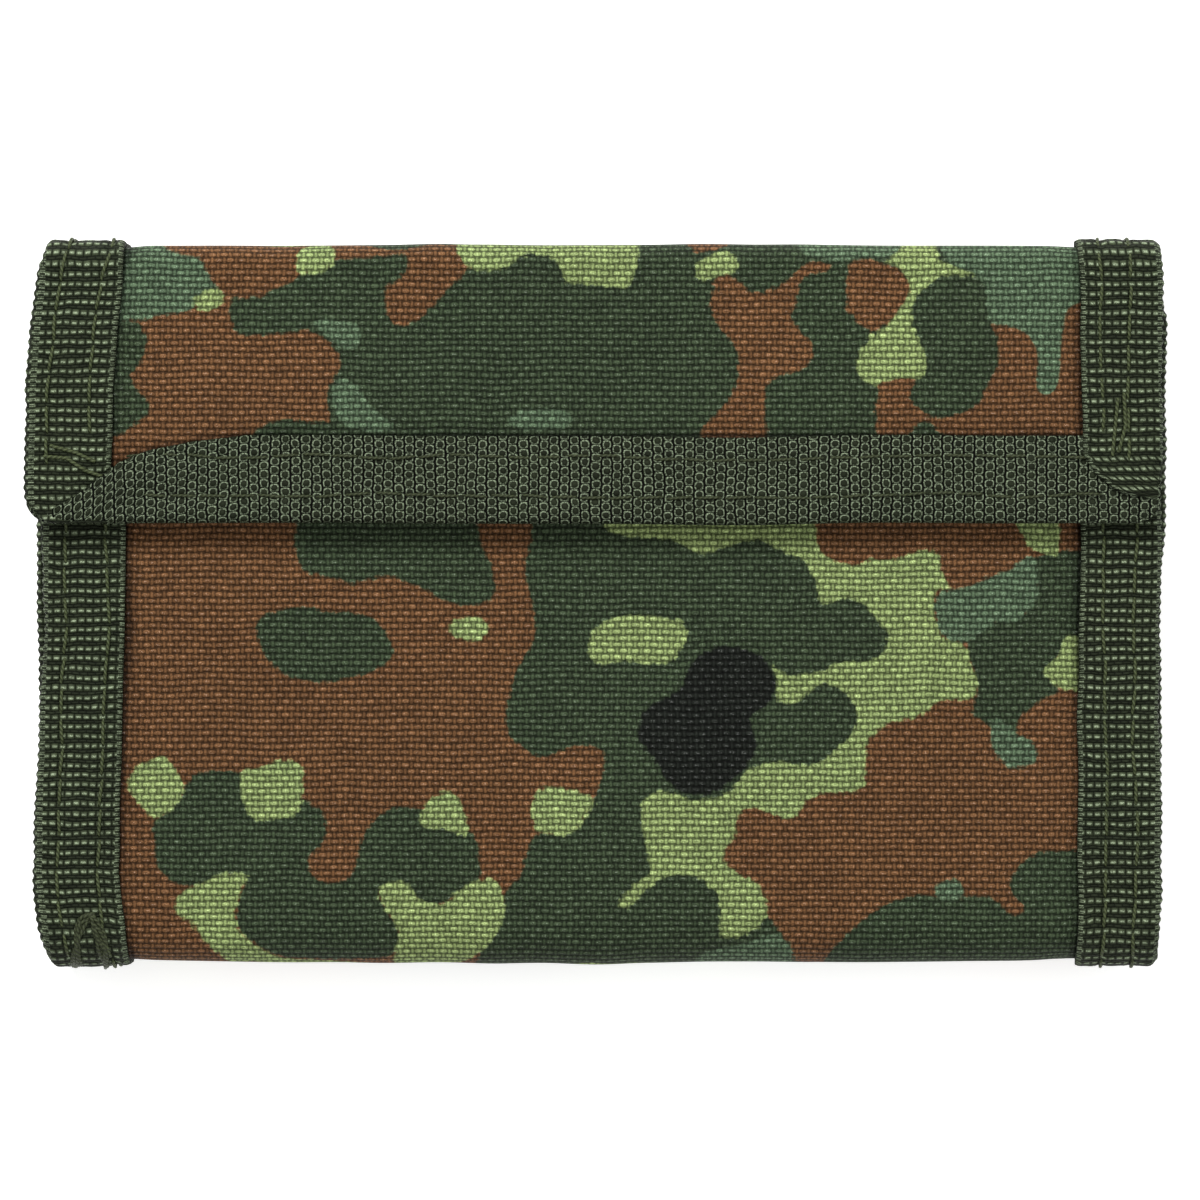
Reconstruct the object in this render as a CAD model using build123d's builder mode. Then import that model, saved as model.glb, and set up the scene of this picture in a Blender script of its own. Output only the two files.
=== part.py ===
from build123d import *
import os

# Trifold wallet, closed and lying on its back: a back panel, a short flap folded over from
# the top edge and a front panel folded up from the bottom edge, tucked under the flap.
# Frame: +X across the width, +Y towards the top fold, +Z out of the front of the wallet.
# Origin: middle of the closed wallet's footprint, on the plane its back rests on.
os.makedirs("parts", exist_ok=True)

# ---- driving dimensions, millimetres ---------------------------------------------------
WIDTH = 130.0          # across the binding tapes
HEIGHT = 83.0          # over the two folds
TAPE_W = 10.0          # width of one leg of the folded binding tape
TAPE_T = 0.8           # thickness of the binding tape
SHELL_T = 0.6          # printed outer fabric
LINING_T = 0.3         # lining and pocket fabric
NOTE_GAP = 0.5         # banknote compartment
CARD_GAP = 0.8         # each card slot
COIN_GAP = 2.2         # coin compartment
FILM_T = 0.2           # clear window film
INNER_GAP = 1.8        # air between back panel and front panel when closed
LOOP_T = 0.8           # loop strip
HOOK_T = 1.2           # hook strip
FIT = 0.1              # play between a layer's edge and the tape that wraps it

FLAP_LOW_Y = 8.9       # free edge of the flap
FLAP_CORNER_R = 4.0
FRONT_TOP_Y = 36.8     # free edge of the front panel

# ---- levels of the back panel, from the table up ---------------------------------------
half_w = WIDTH / 2
leg_x = half_w - TAPE_W / 2                 # middle of a tape leg
core_x = half_w - TAPE_T - FIT              # half width of the layers inside the tape
axis_y = HEIGHT / 2 - TAPE_T - SHELL_T / 2  # fold axes lie in the middle of the shell
shell_end = axis_y - 0.4                    # where the flat shell stops and the fold starts
inner_end = axis_y - 1.95                   # where the inner layers stop short of the fold

z_back_shell = TAPE_T
z_back_axis = z_back_shell + SHELL_T / 2
z_back_lining = z_back_shell + SHELL_T + NOTE_GAP
z_pocket_rear = z_back_lining + LINING_T + CARD_GAP
z_pocket_front = z_pocket_rear + LINING_T + CARD_GAP
z_film = z_pocket_front + LINING_T + CARD_GAP
z_frame = z_film + FILM_T
z_back_leg = z_frame + LINING_T
z_back_top = z_back_leg + TAPE_T

# ---- levels of the front panel, closed --------------------------------------------------
z_front_leg = z_back_top + INNER_GAP
z_coin_face = z_front_leg + TAPE_T
z_front_lining = z_coin_face + LINING_T + COIN_GAP
z_front_shell = z_front_lining + LINING_T + NOTE_GAP
z_front_axis = z_front_shell + SHELL_T / 2
z_front_outer = z_front_shell + SHELL_T
z_front_top = z_front_outer + TAPE_T

# ---- levels of the flap, closed ---------------------------------------------------------
z_hook = z_front_outer + LOOP_T + 0.1
z_flap_lining = z_hook + HOOK_T
z_flap_shell = z_flap_lining + LINING_T
z_flap_axis = z_flap_shell + SHELL_T / 2
z_flap_outer = z_flap_shell + SHELL_T
z_flap_leg = z_flap_lining - TAPE_T
z_top = z_flap_outer + TAPE_T

SIDES = (("left", -1), ("right", 1))

# =========================== back panel ===================================================
with BuildPart() as back_shell:
    with BuildSketch(Plane.XY.offset(z_back_shell)):
        Rectangle(2 * core_x, 2 * shell_end)
    extrude(amount=SHELL_T)
back_shell.part.label = "back_shell"
export_step(back_shell.part, "parts/back_shell.step")

with BuildPart() as back_lining:
    with BuildSketch(Plane.XY.offset(z_back_lining)):
        Rectangle(2 * core_x, 2 * inner_end)
    extrude(amount=LINING_T)
    # thumb cut-out at the mouth of the banknote compartment
    with BuildSketch(Plane.XY.offset(z_back_lining)):
        with Locations((0, inner_end)):
            Circle(9)
    extrude(amount=LINING_T, mode=Mode.SUBTRACT)
back_lining.part.label = "back_lining"
export_step(back_lining.part, "parts/back_lining.step")

POCKET_LOW_Y = -37.3
POCKETS = (("card_pocket_rear", z_pocket_rear, 26.0), ("card_pocket_front", z_pocket_front, 19.0))
for pocket_name, pocket_z, pocket_top in POCKETS:
    with BuildPart() as card_pocket:
        with BuildSketch(Plane.XY.offset(pocket_z)):
            with Locations((0, (pocket_top + POCKET_LOW_Y) / 2)):
                Rectangle(2 * core_x, pocket_top - POCKET_LOW_Y)
        extrude(amount=LINING_T)
    card_pocket.part.label = pocket_name
    export_step(card_pocket.part, f"parts/{pocket_name}.step")

WINDOW_TOP_Y = 12.0
WINDOW_W, WINDOW_H = 84.0, 38.0
window_y = (WINDOW_TOP_Y + POCKET_LOW_Y) / 2
with BuildPart() as id_window_frame:
    with BuildSketch(Plane.XY.offset(z_frame)):
        with Locations((0, window_y)):
            Rectangle(2 * core_x, WINDOW_TOP_Y - POCKET_LOW_Y)
            RectangleRounded(WINDOW_W, WINDOW_H, 3, mode=Mode.SUBTRACT)
    extrude(amount=LINING_T)
id_window_frame.part.label = "id_window_frame"
export_step(id_window_frame.part, "parts/id_window_frame.step")

with BuildPart() as id_window_film:
    with BuildSketch(Plane.XY.offset(z_film)):
        with Locations((0, window_y)):
            Rectangle(WINDOW_W + 10, WINDOW_TOP_Y - POCKET_LOW_Y)
    extrude(amount=FILM_T)
id_window_film.part.label = "id_window_film"
export_step(id_window_film.part, "parts/id_window_film.step")

with BuildPart() as card_pocket_bottom_hem:
    with BuildSketch(Plane.XY.offset(z_back_lining + LINING_T)):
        with Locations((0, POCKET_LOW_Y - 0.55)):
            Rectangle(2 * (half_w - TAPE_W) - 1, 1.0)
    extrude(amount=z_back_leg - z_back_lining - LINING_T)
card_pocket_bottom_hem.part.label = "card_pocket_bottom_hem"
export_step(card_pocket_bottom_hem.part, "parts/card_pocket_bottom_hem.step")

for side, s in SIDES:
    with BuildPart() as back_tape:
        # folded tape: two legs and the web that wraps the edge
        with BuildSketch(Plane.XZ.offset(-inner_end)):
            with Locations((s * leg_x, z_back_top / 2)):
                Rectangle(TAPE_W, z_back_top)
            with Locations((s * (leg_x - TAPE_T / 2), (TAPE_T + z_back_leg) / 2)):
                Rectangle(TAPE_W - TAPE_T, z_back_leg - TAPE_T, mode=Mode.SUBTRACT)
        extrude(amount=2 * inner_end)
        with BuildSketch(Plane.XY):
            with Locations((s * leg_x, 0)):
                Rectangle(TAPE_W, 2 * shell_end)
        extrude(amount=TAPE_T)
    back_tape.part.label = f"back_tape_{side}"
    export_step(back_tape.part, f"parts/back_tape_{side}.step")

# =========================== bottom fold ==================================================
# The spine strip has full-round edges, centred on the two fold axes.
with BuildPart() as bottom_spine_shell:
    with BuildSketch(Plane.YZ.offset(-core_x)):
        with Locations((-axis_y, (z_back_axis + z_front_axis) / 2)):
            SlotCenterToCenter(z_front_axis - z_back_axis, SHELL_T, rotation=90)
    extrude(amount=2 * core_x)
bottom_spine_shell.part.label = "bottom_spine_shell"
export_step(bottom_spine_shell.part, "parts/bottom_spine_shell.step")

SPINE_END = 0.5    # the spine's tape stops this far from each fold axis
with BuildPart() as bottom_spine_lining:
    with BuildSketch(Plane.XY.offset(z_back_axis + SPINE_END)):
        with Locations((0, -axis_y + SHELL_T / 2 + 0.3 + LINING_T / 2)):
            Rectangle(2 * core_x, LINING_T)
    extrude(amount=z_front_axis - z_back_axis - 2 * SPINE_END)
bottom_spine_lining.part.label = "bottom_spine_lining"
export_step(bottom_spine_lining.part, "parts/bottom_spine_lining.step")

spine_in = SHELL_T / 2 + 0.3 + LINING_T     # inner face of the spine's layers, from the axis
for side, s in SIDES:
    with BuildPart() as bottom_spine_tape:
        with BuildSketch(Plane.XY.offset(z_back_axis + SPINE_END)):
            with Locations((s * leg_x, -axis_y + (spine_in - SHELL_T / 2) / 2)):
                Rectangle(TAPE_W, spine_in + SHELL_T / 2 + 2 * TAPE_T)
            with Locations((s * (leg_x - TAPE_T / 2), -axis_y + (spine_in - SHELL_T / 2) / 2)):
                Rectangle(TAPE_W - TAPE_T, spine_in + SHELL_T / 2, mode=Mode.SUBTRACT)
        extrude(amount=z_front_axis - z_back_axis - 2 * SPINE_END)
    bottom_spine_tape.part.label = f"bottom_spine_tape_{side}"
    export_step(bottom_spine_tape.part, f"parts/bottom_spine_tape_{side}.step")

# =========================== top fold =====================================================
with BuildPart() as top_spine_shell:
    with BuildSketch(Plane.YZ.offset(-core_x)):
        with Locations((axis_y, (z_back_axis + z_flap_axis) / 2)):
            SlotCenterToCenter(z_flap_axis - z_back_axis, SHELL_T, rotation=90)
    extrude(amount=2 * core_x)
top_spine_shell.part.label = "top_spine_shell"
export_step(top_spine_shell.part, "parts/top_spine_shell.step")

with BuildPart() as top_spine_lining:
    with BuildSketch(Plane.XY.offset(z_back_axis + SPINE_END)):
        with Locations((0, axis_y - SHELL_T / 2 - 0.3 - LINING_T / 2)):
            Rectangle(2 * core_x, LINING_T)
    extrude(amount=z_flap_axis - z_back_axis - 2 * SPINE_END)
top_spine_lining.part.label = "top_spine_lining"
export_step(top_spine_lining.part, "parts/top_spine_lining.step")

for side, s in SIDES:
    with BuildPart() as top_spine_tape:
        with BuildSketch(Plane.XY.offset(z_back_axis + SPINE_END)):
            with Locations((s * leg_x, axis_y - (spine_in - SHELL_T / 2) / 2)):
                Rectangle(TAPE_W, spine_in + SHELL_T / 2 + 2 * TAPE_T)
            with Locations((s * (leg_x - TAPE_T / 2), axis_y - (spine_in - SHELL_T / 2) / 2)):
                Rectangle(TAPE_W - TAPE_T, spine_in + SHELL_T / 2, mode=Mode.SUBTRACT)
        extrude(amount=z_flap_axis - z_back_axis - 2 * SPINE_END)
    top_spine_tape.part.label = f"top_spine_tape_{side}"
    export_step(top_spine_tape.part, f"parts/top_spine_tape_{side}.step")

# =========================== flap =========================================================
flap_core_low = FLAP_LOW_Y + TAPE_T + FIT
flap_tape_end = FLAP_LOW_Y + TAPE_W
with BuildPart() as flap_shell:
    with BuildSketch(Plane.XY.offset(z_flap_shell)) as flap_plan:
        with Locations((0, (flap_core_low + shell_end) / 2)):
            Rectangle(2 * core_x, shell_end - flap_core_low)
        fillet(flap_plan.vertices().group_by(Axis.Y)[0], FLAP_CORNER_R - TAPE_T)
    extrude(amount=SHELL_T)
flap_shell.part.label = "flap_shell"
export_step(flap_shell.part, "parts/flap_shell.step")

with BuildPart() as flap_lining:
    with BuildSketch(Plane.XY.offset(z_flap_lining)) as lining_plan:
        with Locations((0, (flap_core_low + inner_end) / 2)):
            Rectangle(2 * core_x, inner_end - flap_core_low)
        fillet(lining_plan.vertices().group_by(Axis.Y)[0], FLAP_CORNER_R - TAPE_T)
    extrude(amount=LINING_T)
flap_lining.part.label = "flap_lining"
export_step(flap_lining.part, "parts/flap_lining.step")

with BuildPart() as flap_edge_tape:
    # binding of the flap's free edge: rounded corners, ends mitred against the side tapes
    with BuildSketch(Plane.XY.offset(z_flap_leg)) as edge_plan:
        with Locations((0, FLAP_LOW_Y + TAPE_W / 2)):
            Rectangle(WIDTH, TAPE_W)
        fillet(edge_plan.vertices().group_by(Axis.Y)[0], FLAP_CORNER_R)
        Polygon((-half_w, FLAP_LOW_Y), (half_w, FLAP_LOW_Y), (half_w - TAPE_W, flap_tape_end),
                (TAPE_W - half_w, flap_tape_end), align=None, mode=Mode.INTERSECT)
    extrude(amount=z_top - z_flap_leg)
    with BuildSketch(Plane.XY.offset(z_flap_lining)) as edge_inside:
        with Locations((0, FLAP_LOW_Y + TAPE_T + TAPE_W / 2)):
            Rectangle(WIDTH - 2 * TAPE_T, TAPE_W)
        fillet(edge_inside.vertices().group_by(Axis.Y)[0], FLAP_CORNER_R - TAPE_T)
    extrude(amount=z_flap_outer - z_flap_lining, mode=Mode.SUBTRACT)
flap_edge_tape.part.label = "flap_edge_tape"
export_step(flap_edge_tape.part, "parts/flap_edge_tape.step")

MITRE_FIT = 0.06
for side, s in SIDES:
    with BuildPart() as flap_tape:
        with BuildSketch(Plane.XY.offset(z_flap_leg)) as side_plan:
            with Locations((s * leg_x, (FLAP_LOW_Y + inner_end) / 2)):
                Rectangle(TAPE_W, inner_end - FLAP_LOW_Y)
            fillet(side_plan.vertices().sort_by(Axis.Y)[:2].sort_by(Axis.X)[0 if s < 0 else -1], FLAP_CORNER_R)
            Polygon((s * half_w, FLAP_LOW_Y + MITRE_FIT), (s * (half_w - TAPE_W), flap_tape_end + MITRE_FIT),
                    (s * (half_w - TAPE_W), inner_end), (s * half_w, inner_end), align=None, mode=Mode.INTERSECT)
        extrude(amount=z_top - z_flap_leg)
        with BuildSketch(Plane.XY.offset(z_flap_lining)) as side_inside:
            with Locations((0, (FLAP_LOW_Y + TAPE_T + inner_end) / 2 + 1)):
                Rectangle(WIDTH - 2 * TAPE_T, inner_end - FLAP_LOW_Y - TAPE_T + 2)
            fillet(side_inside.vertices().group_by(Axis.Y)[0], FLAP_CORNER_R - TAPE_T)
        extrude(amount=z_flap_outer - z_flap_lining, mode=Mode.SUBTRACT)
        with BuildSketch(Plane.XY.offset(z_flap_outer)):
            with Locations((s * leg_x, (inner_end + shell_end) / 2 - 0.5)):
                Rectangle(TAPE_W, shell_end - inner_end + 1)
        extrude(amount=TAPE_T)
    flap_tape.part.label = f"flap_tape_{side}"
    export_step(flap_tape.part, f"parts/flap_tape_{side}.step")

HOOK_LENGTH = 90.0
with BuildPart() as hook_strip:
    with BuildSketch(Plane.XY.offset(z_hook)):
        with Locations((0, 29.0)):
            RectangleRounded(HOOK_LENGTH, 16, 1.0)
    extrude(amount=HOOK_T)
hook_strip.part.label = "hook_strip"
export_step(hook_strip.part, "parts/hook_strip.step")

# =========================== front panel ==================================================
front_mid = (FRONT_TOP_Y - SHELL_T - FIT - shell_end) / 2
with BuildPart() as front_shell:
    with BuildSketch(Plane.XY.offset(z_front_shell)):
        with Locations((0, front_mid)):
            Rectangle(2 * core_x, FRONT_TOP_Y - SHELL_T - FIT + shell_end)
    extrude(amount=SHELL_T)
front_shell.part.label = "front_shell"
export_step(front_shell.part, "parts/front_shell.step")

with BuildPart() as front_lining:
    with BuildSketch(Plane.XY.offset(z_front_lining)):
        with Locations((0, (FRONT_TOP_Y - SHELL_T - FIT - inner_end) / 2)):
            Rectangle(2 * core_x, FRONT_TOP_Y - SHELL_T - FIT + inner_end)
    extrude(amount=LINING_T)
front_lining.part.label = "front_lining"
export_step(front_lining.part, "parts/front_lining.step")

COIN_FACE_TOP_Y = 25.8
with BuildPart() as coin_pocket_face:
    with BuildSketch(Plane.XY.offset(z_coin_face)):
        with Locations((0, (COIN_FACE_TOP_Y + POCKET_LOW_Y) / 2)):
            Rectangle(2 * core_x, COIN_FACE_TOP_Y - POCKET_LOW_Y)
    extrude(amount=LINING_T)
coin_pocket_face.part.label = "coin_pocket_face"
export_step(coin_pocket_face.part, "parts/coin_pocket_face.step")

with BuildPart() as coin_pocket_bottom_hem:
    with BuildSketch(Plane.XY.offset(z_coin_face)):
        with Locations((0, POCKET_LOW_Y - 0.55)):
            Rectangle(2 * (half_w - TAPE_W) - 1, 1.0)
    extrude(amount=z_front_lining - z_coin_face)
coin_pocket_bottom_hem.part.label = "coin_pocket_bottom_hem"
export_step(coin_pocket_bottom_hem.part, "parts/coin_pocket_bottom_hem.step")

# the outer fabric turned in over the free edge, down to the zipper's upper tape
HEM_LOW_Y = 33.6
with BuildPart() as front_edge_hem:
    with BuildSketch(Plane.YZ.offset(-(half_w - TAPE_W) + 0.5)):
        with Locations((FRONT_TOP_Y - SHELL_T / 2, (z_coin_face + z_front_outer) / 2)):
            Rectangle(SHELL_T, z_front_outer - z_coin_face)
        with Locations(((HEM_LOW_Y + FRONT_TOP_Y) / 2, z_coin_face + LINING_T / 2)):
            Rectangle(FRONT_TOP_Y - HEM_LOW_Y, LINING_T)
    extrude(amount=2 * (half_w - TAPE_W) - 1)
front_edge_hem.part.label = "front_edge_hem"
export_step(front_edge_hem.part, "parts/front_edge_hem.step")

with BuildPart() as loop_strip:
    with BuildSketch(Plane.XY.offset(z_front_outer)):
        with Locations((0, 27.0)):
            RectangleRounded(HOOK_LENGTH, 16, 1.0)
    extrude(amount=LOOP_T)
loop_strip.part.label = "loop_strip"
export_step(loop_strip.part, "parts/loop_strip.step")

for side, s in SIDES:
    with BuildPart() as front_tape:
        with BuildSketch(Plane.XZ.offset(-FRONT_TOP_Y)):
            with Locations((s * leg_x, (z_front_leg + z_front_top) / 2)):
                Rectangle(TAPE_W, z_front_top - z_front_leg)
            with Locations((s * (leg_x - TAPE_T / 2), (z_coin_face + z_front_outer) / 2)):
                Rectangle(TAPE_W - TAPE_T, z_front_outer - z_coin_face, mode=Mode.SUBTRACT)
        extrude(amount=FRONT_TOP_Y + inner_end)
        with BuildSketch(Plane.XY.offset(z_front_outer)):
            with Locations((s * leg_x, -(inner_end + shell_end) / 2 + 0.5)):
                Rectangle(TAPE_W, shell_end - inner_end + 1)
        extrude(amount=TAPE_T)
    front_tape.part.label = f"front_tape_{side}"
    export_step(front_tape.part, f"parts/front_tape_{side}.step")

# =========================== zipper =======================================================
ZIP_Y = 30.0           # middle of the chain
ZIP_GAP = 0.8          # open gap between the two rows, for the slider's divider
COIL_W, COIL_H = 1.7, 1.1
ZIP_HALF = 45.0        # half length of the chain
z_zip_tape = z_coin_face + LINING_T + 0.05
for row, s in (("lower", -1), ("upper", 1)):
    with BuildPart() as zipper_tape:
        with BuildSketch(Plane.XY.offset(z_zip_tape)):
            with Locations((0, ZIP_Y + s * (ZIP_GAP / 2 + 2.6))):
                Rectangle(2 * (half_w - TAPE_W) - 1, 5.2)
        extrude(amount=0.3)
    zipper_tape.part.label = f"zipper_tape_{row}"
    export_step(zipper_tape.part, f"parts/zipper_tape_{row}.step")

    with BuildPart() as zipper_coil:
        with BuildSketch(Plane.XY.offset(z_zip_tape - COIL_H)):
            with Locations((0, ZIP_Y + s * (ZIP_GAP / 2 + COIL_W / 2))):
                Rectangle(2 * ZIP_HALF, COIL_W)
        extrude(amount=COIL_H)
        fillet(zipper_coil.edges().filter_by(Axis.X).group_by(Axis.Z)[0], 0.4)
    zipper_coil.part.label = f"zipper_coil_{row}"
    export_step(zipper_coil.part, f"parts/zipper_coil_{row}.step")

for end, s in (("left", -1), ("right", 1)):
    with BuildPart() as zipper_stop:
        # a staple bent round the last turns of both rows
        with BuildSketch(Plane.XY.offset(z_zip_tape - COIL_H)):
            with Locations((s * (ZIP_HALF + 0.9), ZIP_Y)):
                RectangleRounded(1.6, 5.4, 0.4)
        extrude(amount=COIL_H)
    zipper_stop.part.label = f"zipper_stop_{end}"
    export_step(zipper_stop.part, f"parts/zipper_stop_{end}.step")

# slider: outer plate with side flanges, inner plate, divider between the rows, bail
SLIDER_X = 40.5
SLIDER_L = 9.0
z_plate_out = z_zip_tape - COIL_H - 0.1
z_plate_in = z_zip_tape + 0.3 + 0.1
BAIL_W, BAIL_L, BAIL_H = 1.6, 7.2, 2.1
with BuildPart() as slider_body:
    with BuildSketch(Plane.XY.offset(z_plate_out - 1.2)) as plate_plan:
        with Locations((SLIDER_X, ZIP_Y)):
            RectangleRounded(SLIDER_L, 6.8, 1.5)
    extrude(amount=1.2)
    with BuildSketch(Plane.XY.offset(z_plate_out)):
        with Locations((SLIDER_X, ZIP_Y - 2.95), (SLIDER_X, ZIP_Y + 2.95)):
            Rectangle(SLIDER_L - 2.4, 0.8)
    extrude(amount=z_zip_tape - z_plate_out - 0.1)
    with BuildSketch(Plane.XY.offset(z_plate_out)):
        with Locations((SLIDER_X + 1.6, ZIP_Y)):
            Rectangle(3.4, ZIP_GAP - 0.2)
    extrude(amount=z_plate_in - z_plate_out)
    with BuildSketch(Plane.XY.offset(z_plate_in)):
        with Locations((SLIDER_X, ZIP_Y)):
            RectangleRounded(SLIDER_L - 0.6, 6.0, 1.5)
    extrude(amount=0.8)
    with BuildSketch(Plane.XZ.offset(-ZIP_Y - BAIL_W / 2)):
        with Locations((SLIDER_X, z_plate_out - 1.2 - BAIL_H / 2)):
            Rectangle(BAIL_L, BAIL_H)
        with Locations((SLIDER_X, z_plate_out - 1.2 - (BAIL_H - 0.8) / 2)):
            Rectangle(BAIL_L - 1.8, BAIL_H - 0.8, mode=Mode.SUBTRACT)
    extrude(amount=BAIL_W)
slider_body.part.label = "slider_body"
export_step(slider_body.part, "parts/slider_body.step")

PULL_AXIS_X = SLIDER_X - 1.9
PULL_T, PULL_W, PULL_L = 0.9, 5.0, 12.0
z_pull_axis = z_plate_out - 1.2 - 0.65
with BuildPart() as pull_tab:
    # end bar, round about the hinge axis
    with BuildSketch(Plane.XZ.offset(-ZIP_Y - PULL_W / 2)):
        with Locations((PULL_AXIS_X, z_pull_axis)):
            Circle(0.5)
    extrude(amount=PULL_W)
    with BuildSketch(Plane.XY.offset(z_pull_axis - PULL_T / 2)) as pull_plan:
        with Locations((PULL_AXIS_X - PULL_L / 2, ZIP_Y)):
            Rectangle(PULL_L, PULL_W)
        fillet(pull_plan.vertices().group_by(Axis.X)[0], 2.0)
        with Locations((PULL_AXIS_X - 0.5 - 1.5, ZIP_Y)):
            Rectangle(3.0, 2.4, mode=Mode.SUBTRACT)
        with Locations((PULL_AXIS_X - PULL_L + 3.4, ZIP_Y)):
            SlotOverall(3.6, 1.6, mode=Mode.SUBTRACT)
    extrude(amount=PULL_T)
pull_tab.part.label = "pull_tab"
export_step(pull_tab.part, "parts/pull_tab.step")

print("z levels", round(z_back_top, 2), round(z_front_leg, 2), round(z_front_top, 2), round(z_top, 2))
print("axes y", round(axis_y, 3), "z", round(z_back_axis, 3), round(z_front_axis, 3), round(z_flap_axis, 3))
print("pull axis", PULL_AXIS_X, ZIP_Y, round(z_pull_axis, 3))
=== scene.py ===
import bpy
import math
import numpy as np
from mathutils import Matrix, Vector


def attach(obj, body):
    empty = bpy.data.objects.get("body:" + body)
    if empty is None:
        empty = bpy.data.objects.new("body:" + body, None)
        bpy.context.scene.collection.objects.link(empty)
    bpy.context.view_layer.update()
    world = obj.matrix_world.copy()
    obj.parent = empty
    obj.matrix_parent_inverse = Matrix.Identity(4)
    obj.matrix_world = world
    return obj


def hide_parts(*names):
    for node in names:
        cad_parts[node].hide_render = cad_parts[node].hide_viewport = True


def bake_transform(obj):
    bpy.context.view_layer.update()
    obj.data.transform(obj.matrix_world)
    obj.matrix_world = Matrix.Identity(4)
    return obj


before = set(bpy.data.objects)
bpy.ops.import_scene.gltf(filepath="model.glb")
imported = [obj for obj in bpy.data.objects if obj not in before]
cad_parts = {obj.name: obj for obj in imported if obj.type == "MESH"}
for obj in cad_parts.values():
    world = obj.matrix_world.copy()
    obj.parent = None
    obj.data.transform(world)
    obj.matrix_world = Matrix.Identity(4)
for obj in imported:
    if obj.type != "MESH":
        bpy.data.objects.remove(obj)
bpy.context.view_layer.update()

MM = 0.001
RNG = np.random.default_rng(7)


# ------------------------------------------------------------------ small maths helpers
def smooth(t):
    t = np.clip(t, 0.0, 1.0)
    return t * t * (3 - 2 * t)


def lattice(ix, iy, seed):
    h = (ix.astype(np.int64) * 374761393 + iy.astype(np.int64) * 668265263 + seed * 1442695041) & 0xFFFFFFFF
    h = ((h ^ (h >> 13)) * 1274126177) & 0xFFFFFFFF
    return ((h ^ (h >> 16)) & 0xFFFFFF) / float(0xFFFFFF) * 2 - 1


def noise(x, y, seed=0):
    """Smooth value noise between -1 and 1."""
    ix, iy = np.floor(x), np.floor(y)
    fx, fy = smooth(x - ix), smooth(y - iy)
    a, b = lattice(ix, iy, seed), lattice(ix + 1, iy, seed)
    c, d = lattice(ix, iy + 1, seed), lattice(ix + 1, iy + 1, seed)
    return (a * (1 - fx) + b * fx) * (1 - fy) + (c * (1 - fx) + d * fx) * fy


# ------------------------------------------------------------------ the folded strip
# Outer face of the outer cloth, in the plane across the folds, from the front panel's free edge
# round the bottom fold, along the back, round the top fold and out to the flap's free edge.
AXIS_Y, Z_BACK, Z_FRONT, Z_FLAP = 40.4, 1.1, 12.7, 15.7
FLAP_LOW = 8.9


def path_points():
    pts = []

    def line(a, b):
        n = max(2, int(math.dist(a, b) / 0.1))
        for i in range(n):
            t = i / n
            pts.append((a[0] + (b[0] - a[0]) * t, a[1] + (b[1] - a[1]) * t))

    def corner(cy, cz, ry, rz, a0, a1):
        n = 90
        for i in range(n):
            a = math.radians(a0 + (a1 - a0) * i / n)
            pts.append((cy + ry * math.cos(a), cz + rz * math.sin(a)))

    line((36.6, 13.0), (-36.0, 13.0))
    corner(-36.0, 8.6, 4.8, 4.4, 90, 180)
    line((-40.8, 8.6), (-40.8, 5.2))
    corner(-36.0, 5.2, 4.8, 4.4, 180, 270)
    line((-36.0, 0.8), (36.6, 0.8))
    corner(36.6, 4.8, 3.8, 4.0, -90, 0)
    line((40.4, 4.8), (40.4, 13.6))
    corner(38.2, 13.6, 2.2, 2.4, 0, 90)
    line((38.2, 16.0), (FLAP_LOW + 0.9, 16.0))
    pts.append((FLAP_LOW + 0.9, 16.0))
    return np.array(pts)


PATH = path_points()
SEG = np.r_[0, np.cumsum(np.linalg.norm(np.diff(PATH, axis=0), axis=1))]
LENGTH = SEG[-1]
_t = np.gradient(PATH, axis=0)
_t /= np.linalg.norm(_t, axis=1)[:, None]
_k = np.ones(9) / 9
NORMAL = np.c_[_t[:, 1], -_t[:, 0]]
for _c in range(2):
    NORMAL[:, _c] = np.convolve(np.pad(NORMAL[:, _c], 4, mode="edge"), _k, "valid")
NORMAL /= np.linalg.norm(NORMAL, axis=1)[:, None]
if NORMAL[10, 1] < 0:
    NORMAL = -NORMAL


def at(s, d):
    """(y, z) of the point at length s along the strip and d outwards from the cloth's outer face."""
    y = np.interp(s, SEG, PATH[:, 0]) + np.interp(s, SEG, NORMAL[:, 0]) * d
    z = np.interp(s, SEG, PATH[:, 1]) + np.interp(s, SEG, NORMAL[:, 1]) * d
    return y, z


def s_near(y, z):
    return float(SEG[np.argmin((PATH[:, 0] - y) ** 2 + (PATH[:, 1] - z) ** 2)])


S_FRONT_TOP = 0.0
S_FRONT_LOW = s_near(-36.0, 13.0)
S_BOTTOM = s_near(-40.8, 6.9)
S_BACK_LOW = s_near(-36.0, 0.8)
S_BACK_MID = s_near(0.0, 0.8)
S_BACK_TOP = s_near(36.6, 0.8)
S_TOP = s_near(40.4, 8.6)
S_FLAP_TOP = s_near(38.2, 16.0)
S_END = LENGTH
REGIONS = {
    "front": (S_FRONT_TOP, S_BOTTOM, ("bottom_spine", "front"), (-41.6, 8.4), (-35.4, 13.4)),
    "back_low": (S_BOTTOM, S_BACK_MID, ("back", "bottom_spine"), (-35.4, 0.4), (-41.6, 5.4)),
    "back_high": (S_BACK_MID, S_TOP, ("back", "top_spine"), (36.2, 0.4), (41.6, 5.4)),
    "flap": (S_TOP, S_END, ("top_spine", "flap"), (41.6, 12.6), (37.4, 16.6)),
}


def bind(obj, region):
    (y0, z0), (y1, z1) = REGIONS[region][3], REGIONS[region][4]
    y0 * MM
    z0 * MM
    y1 * MM
    z1 * MM
    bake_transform(obj)
    return obj


LEG = 9.7

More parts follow.
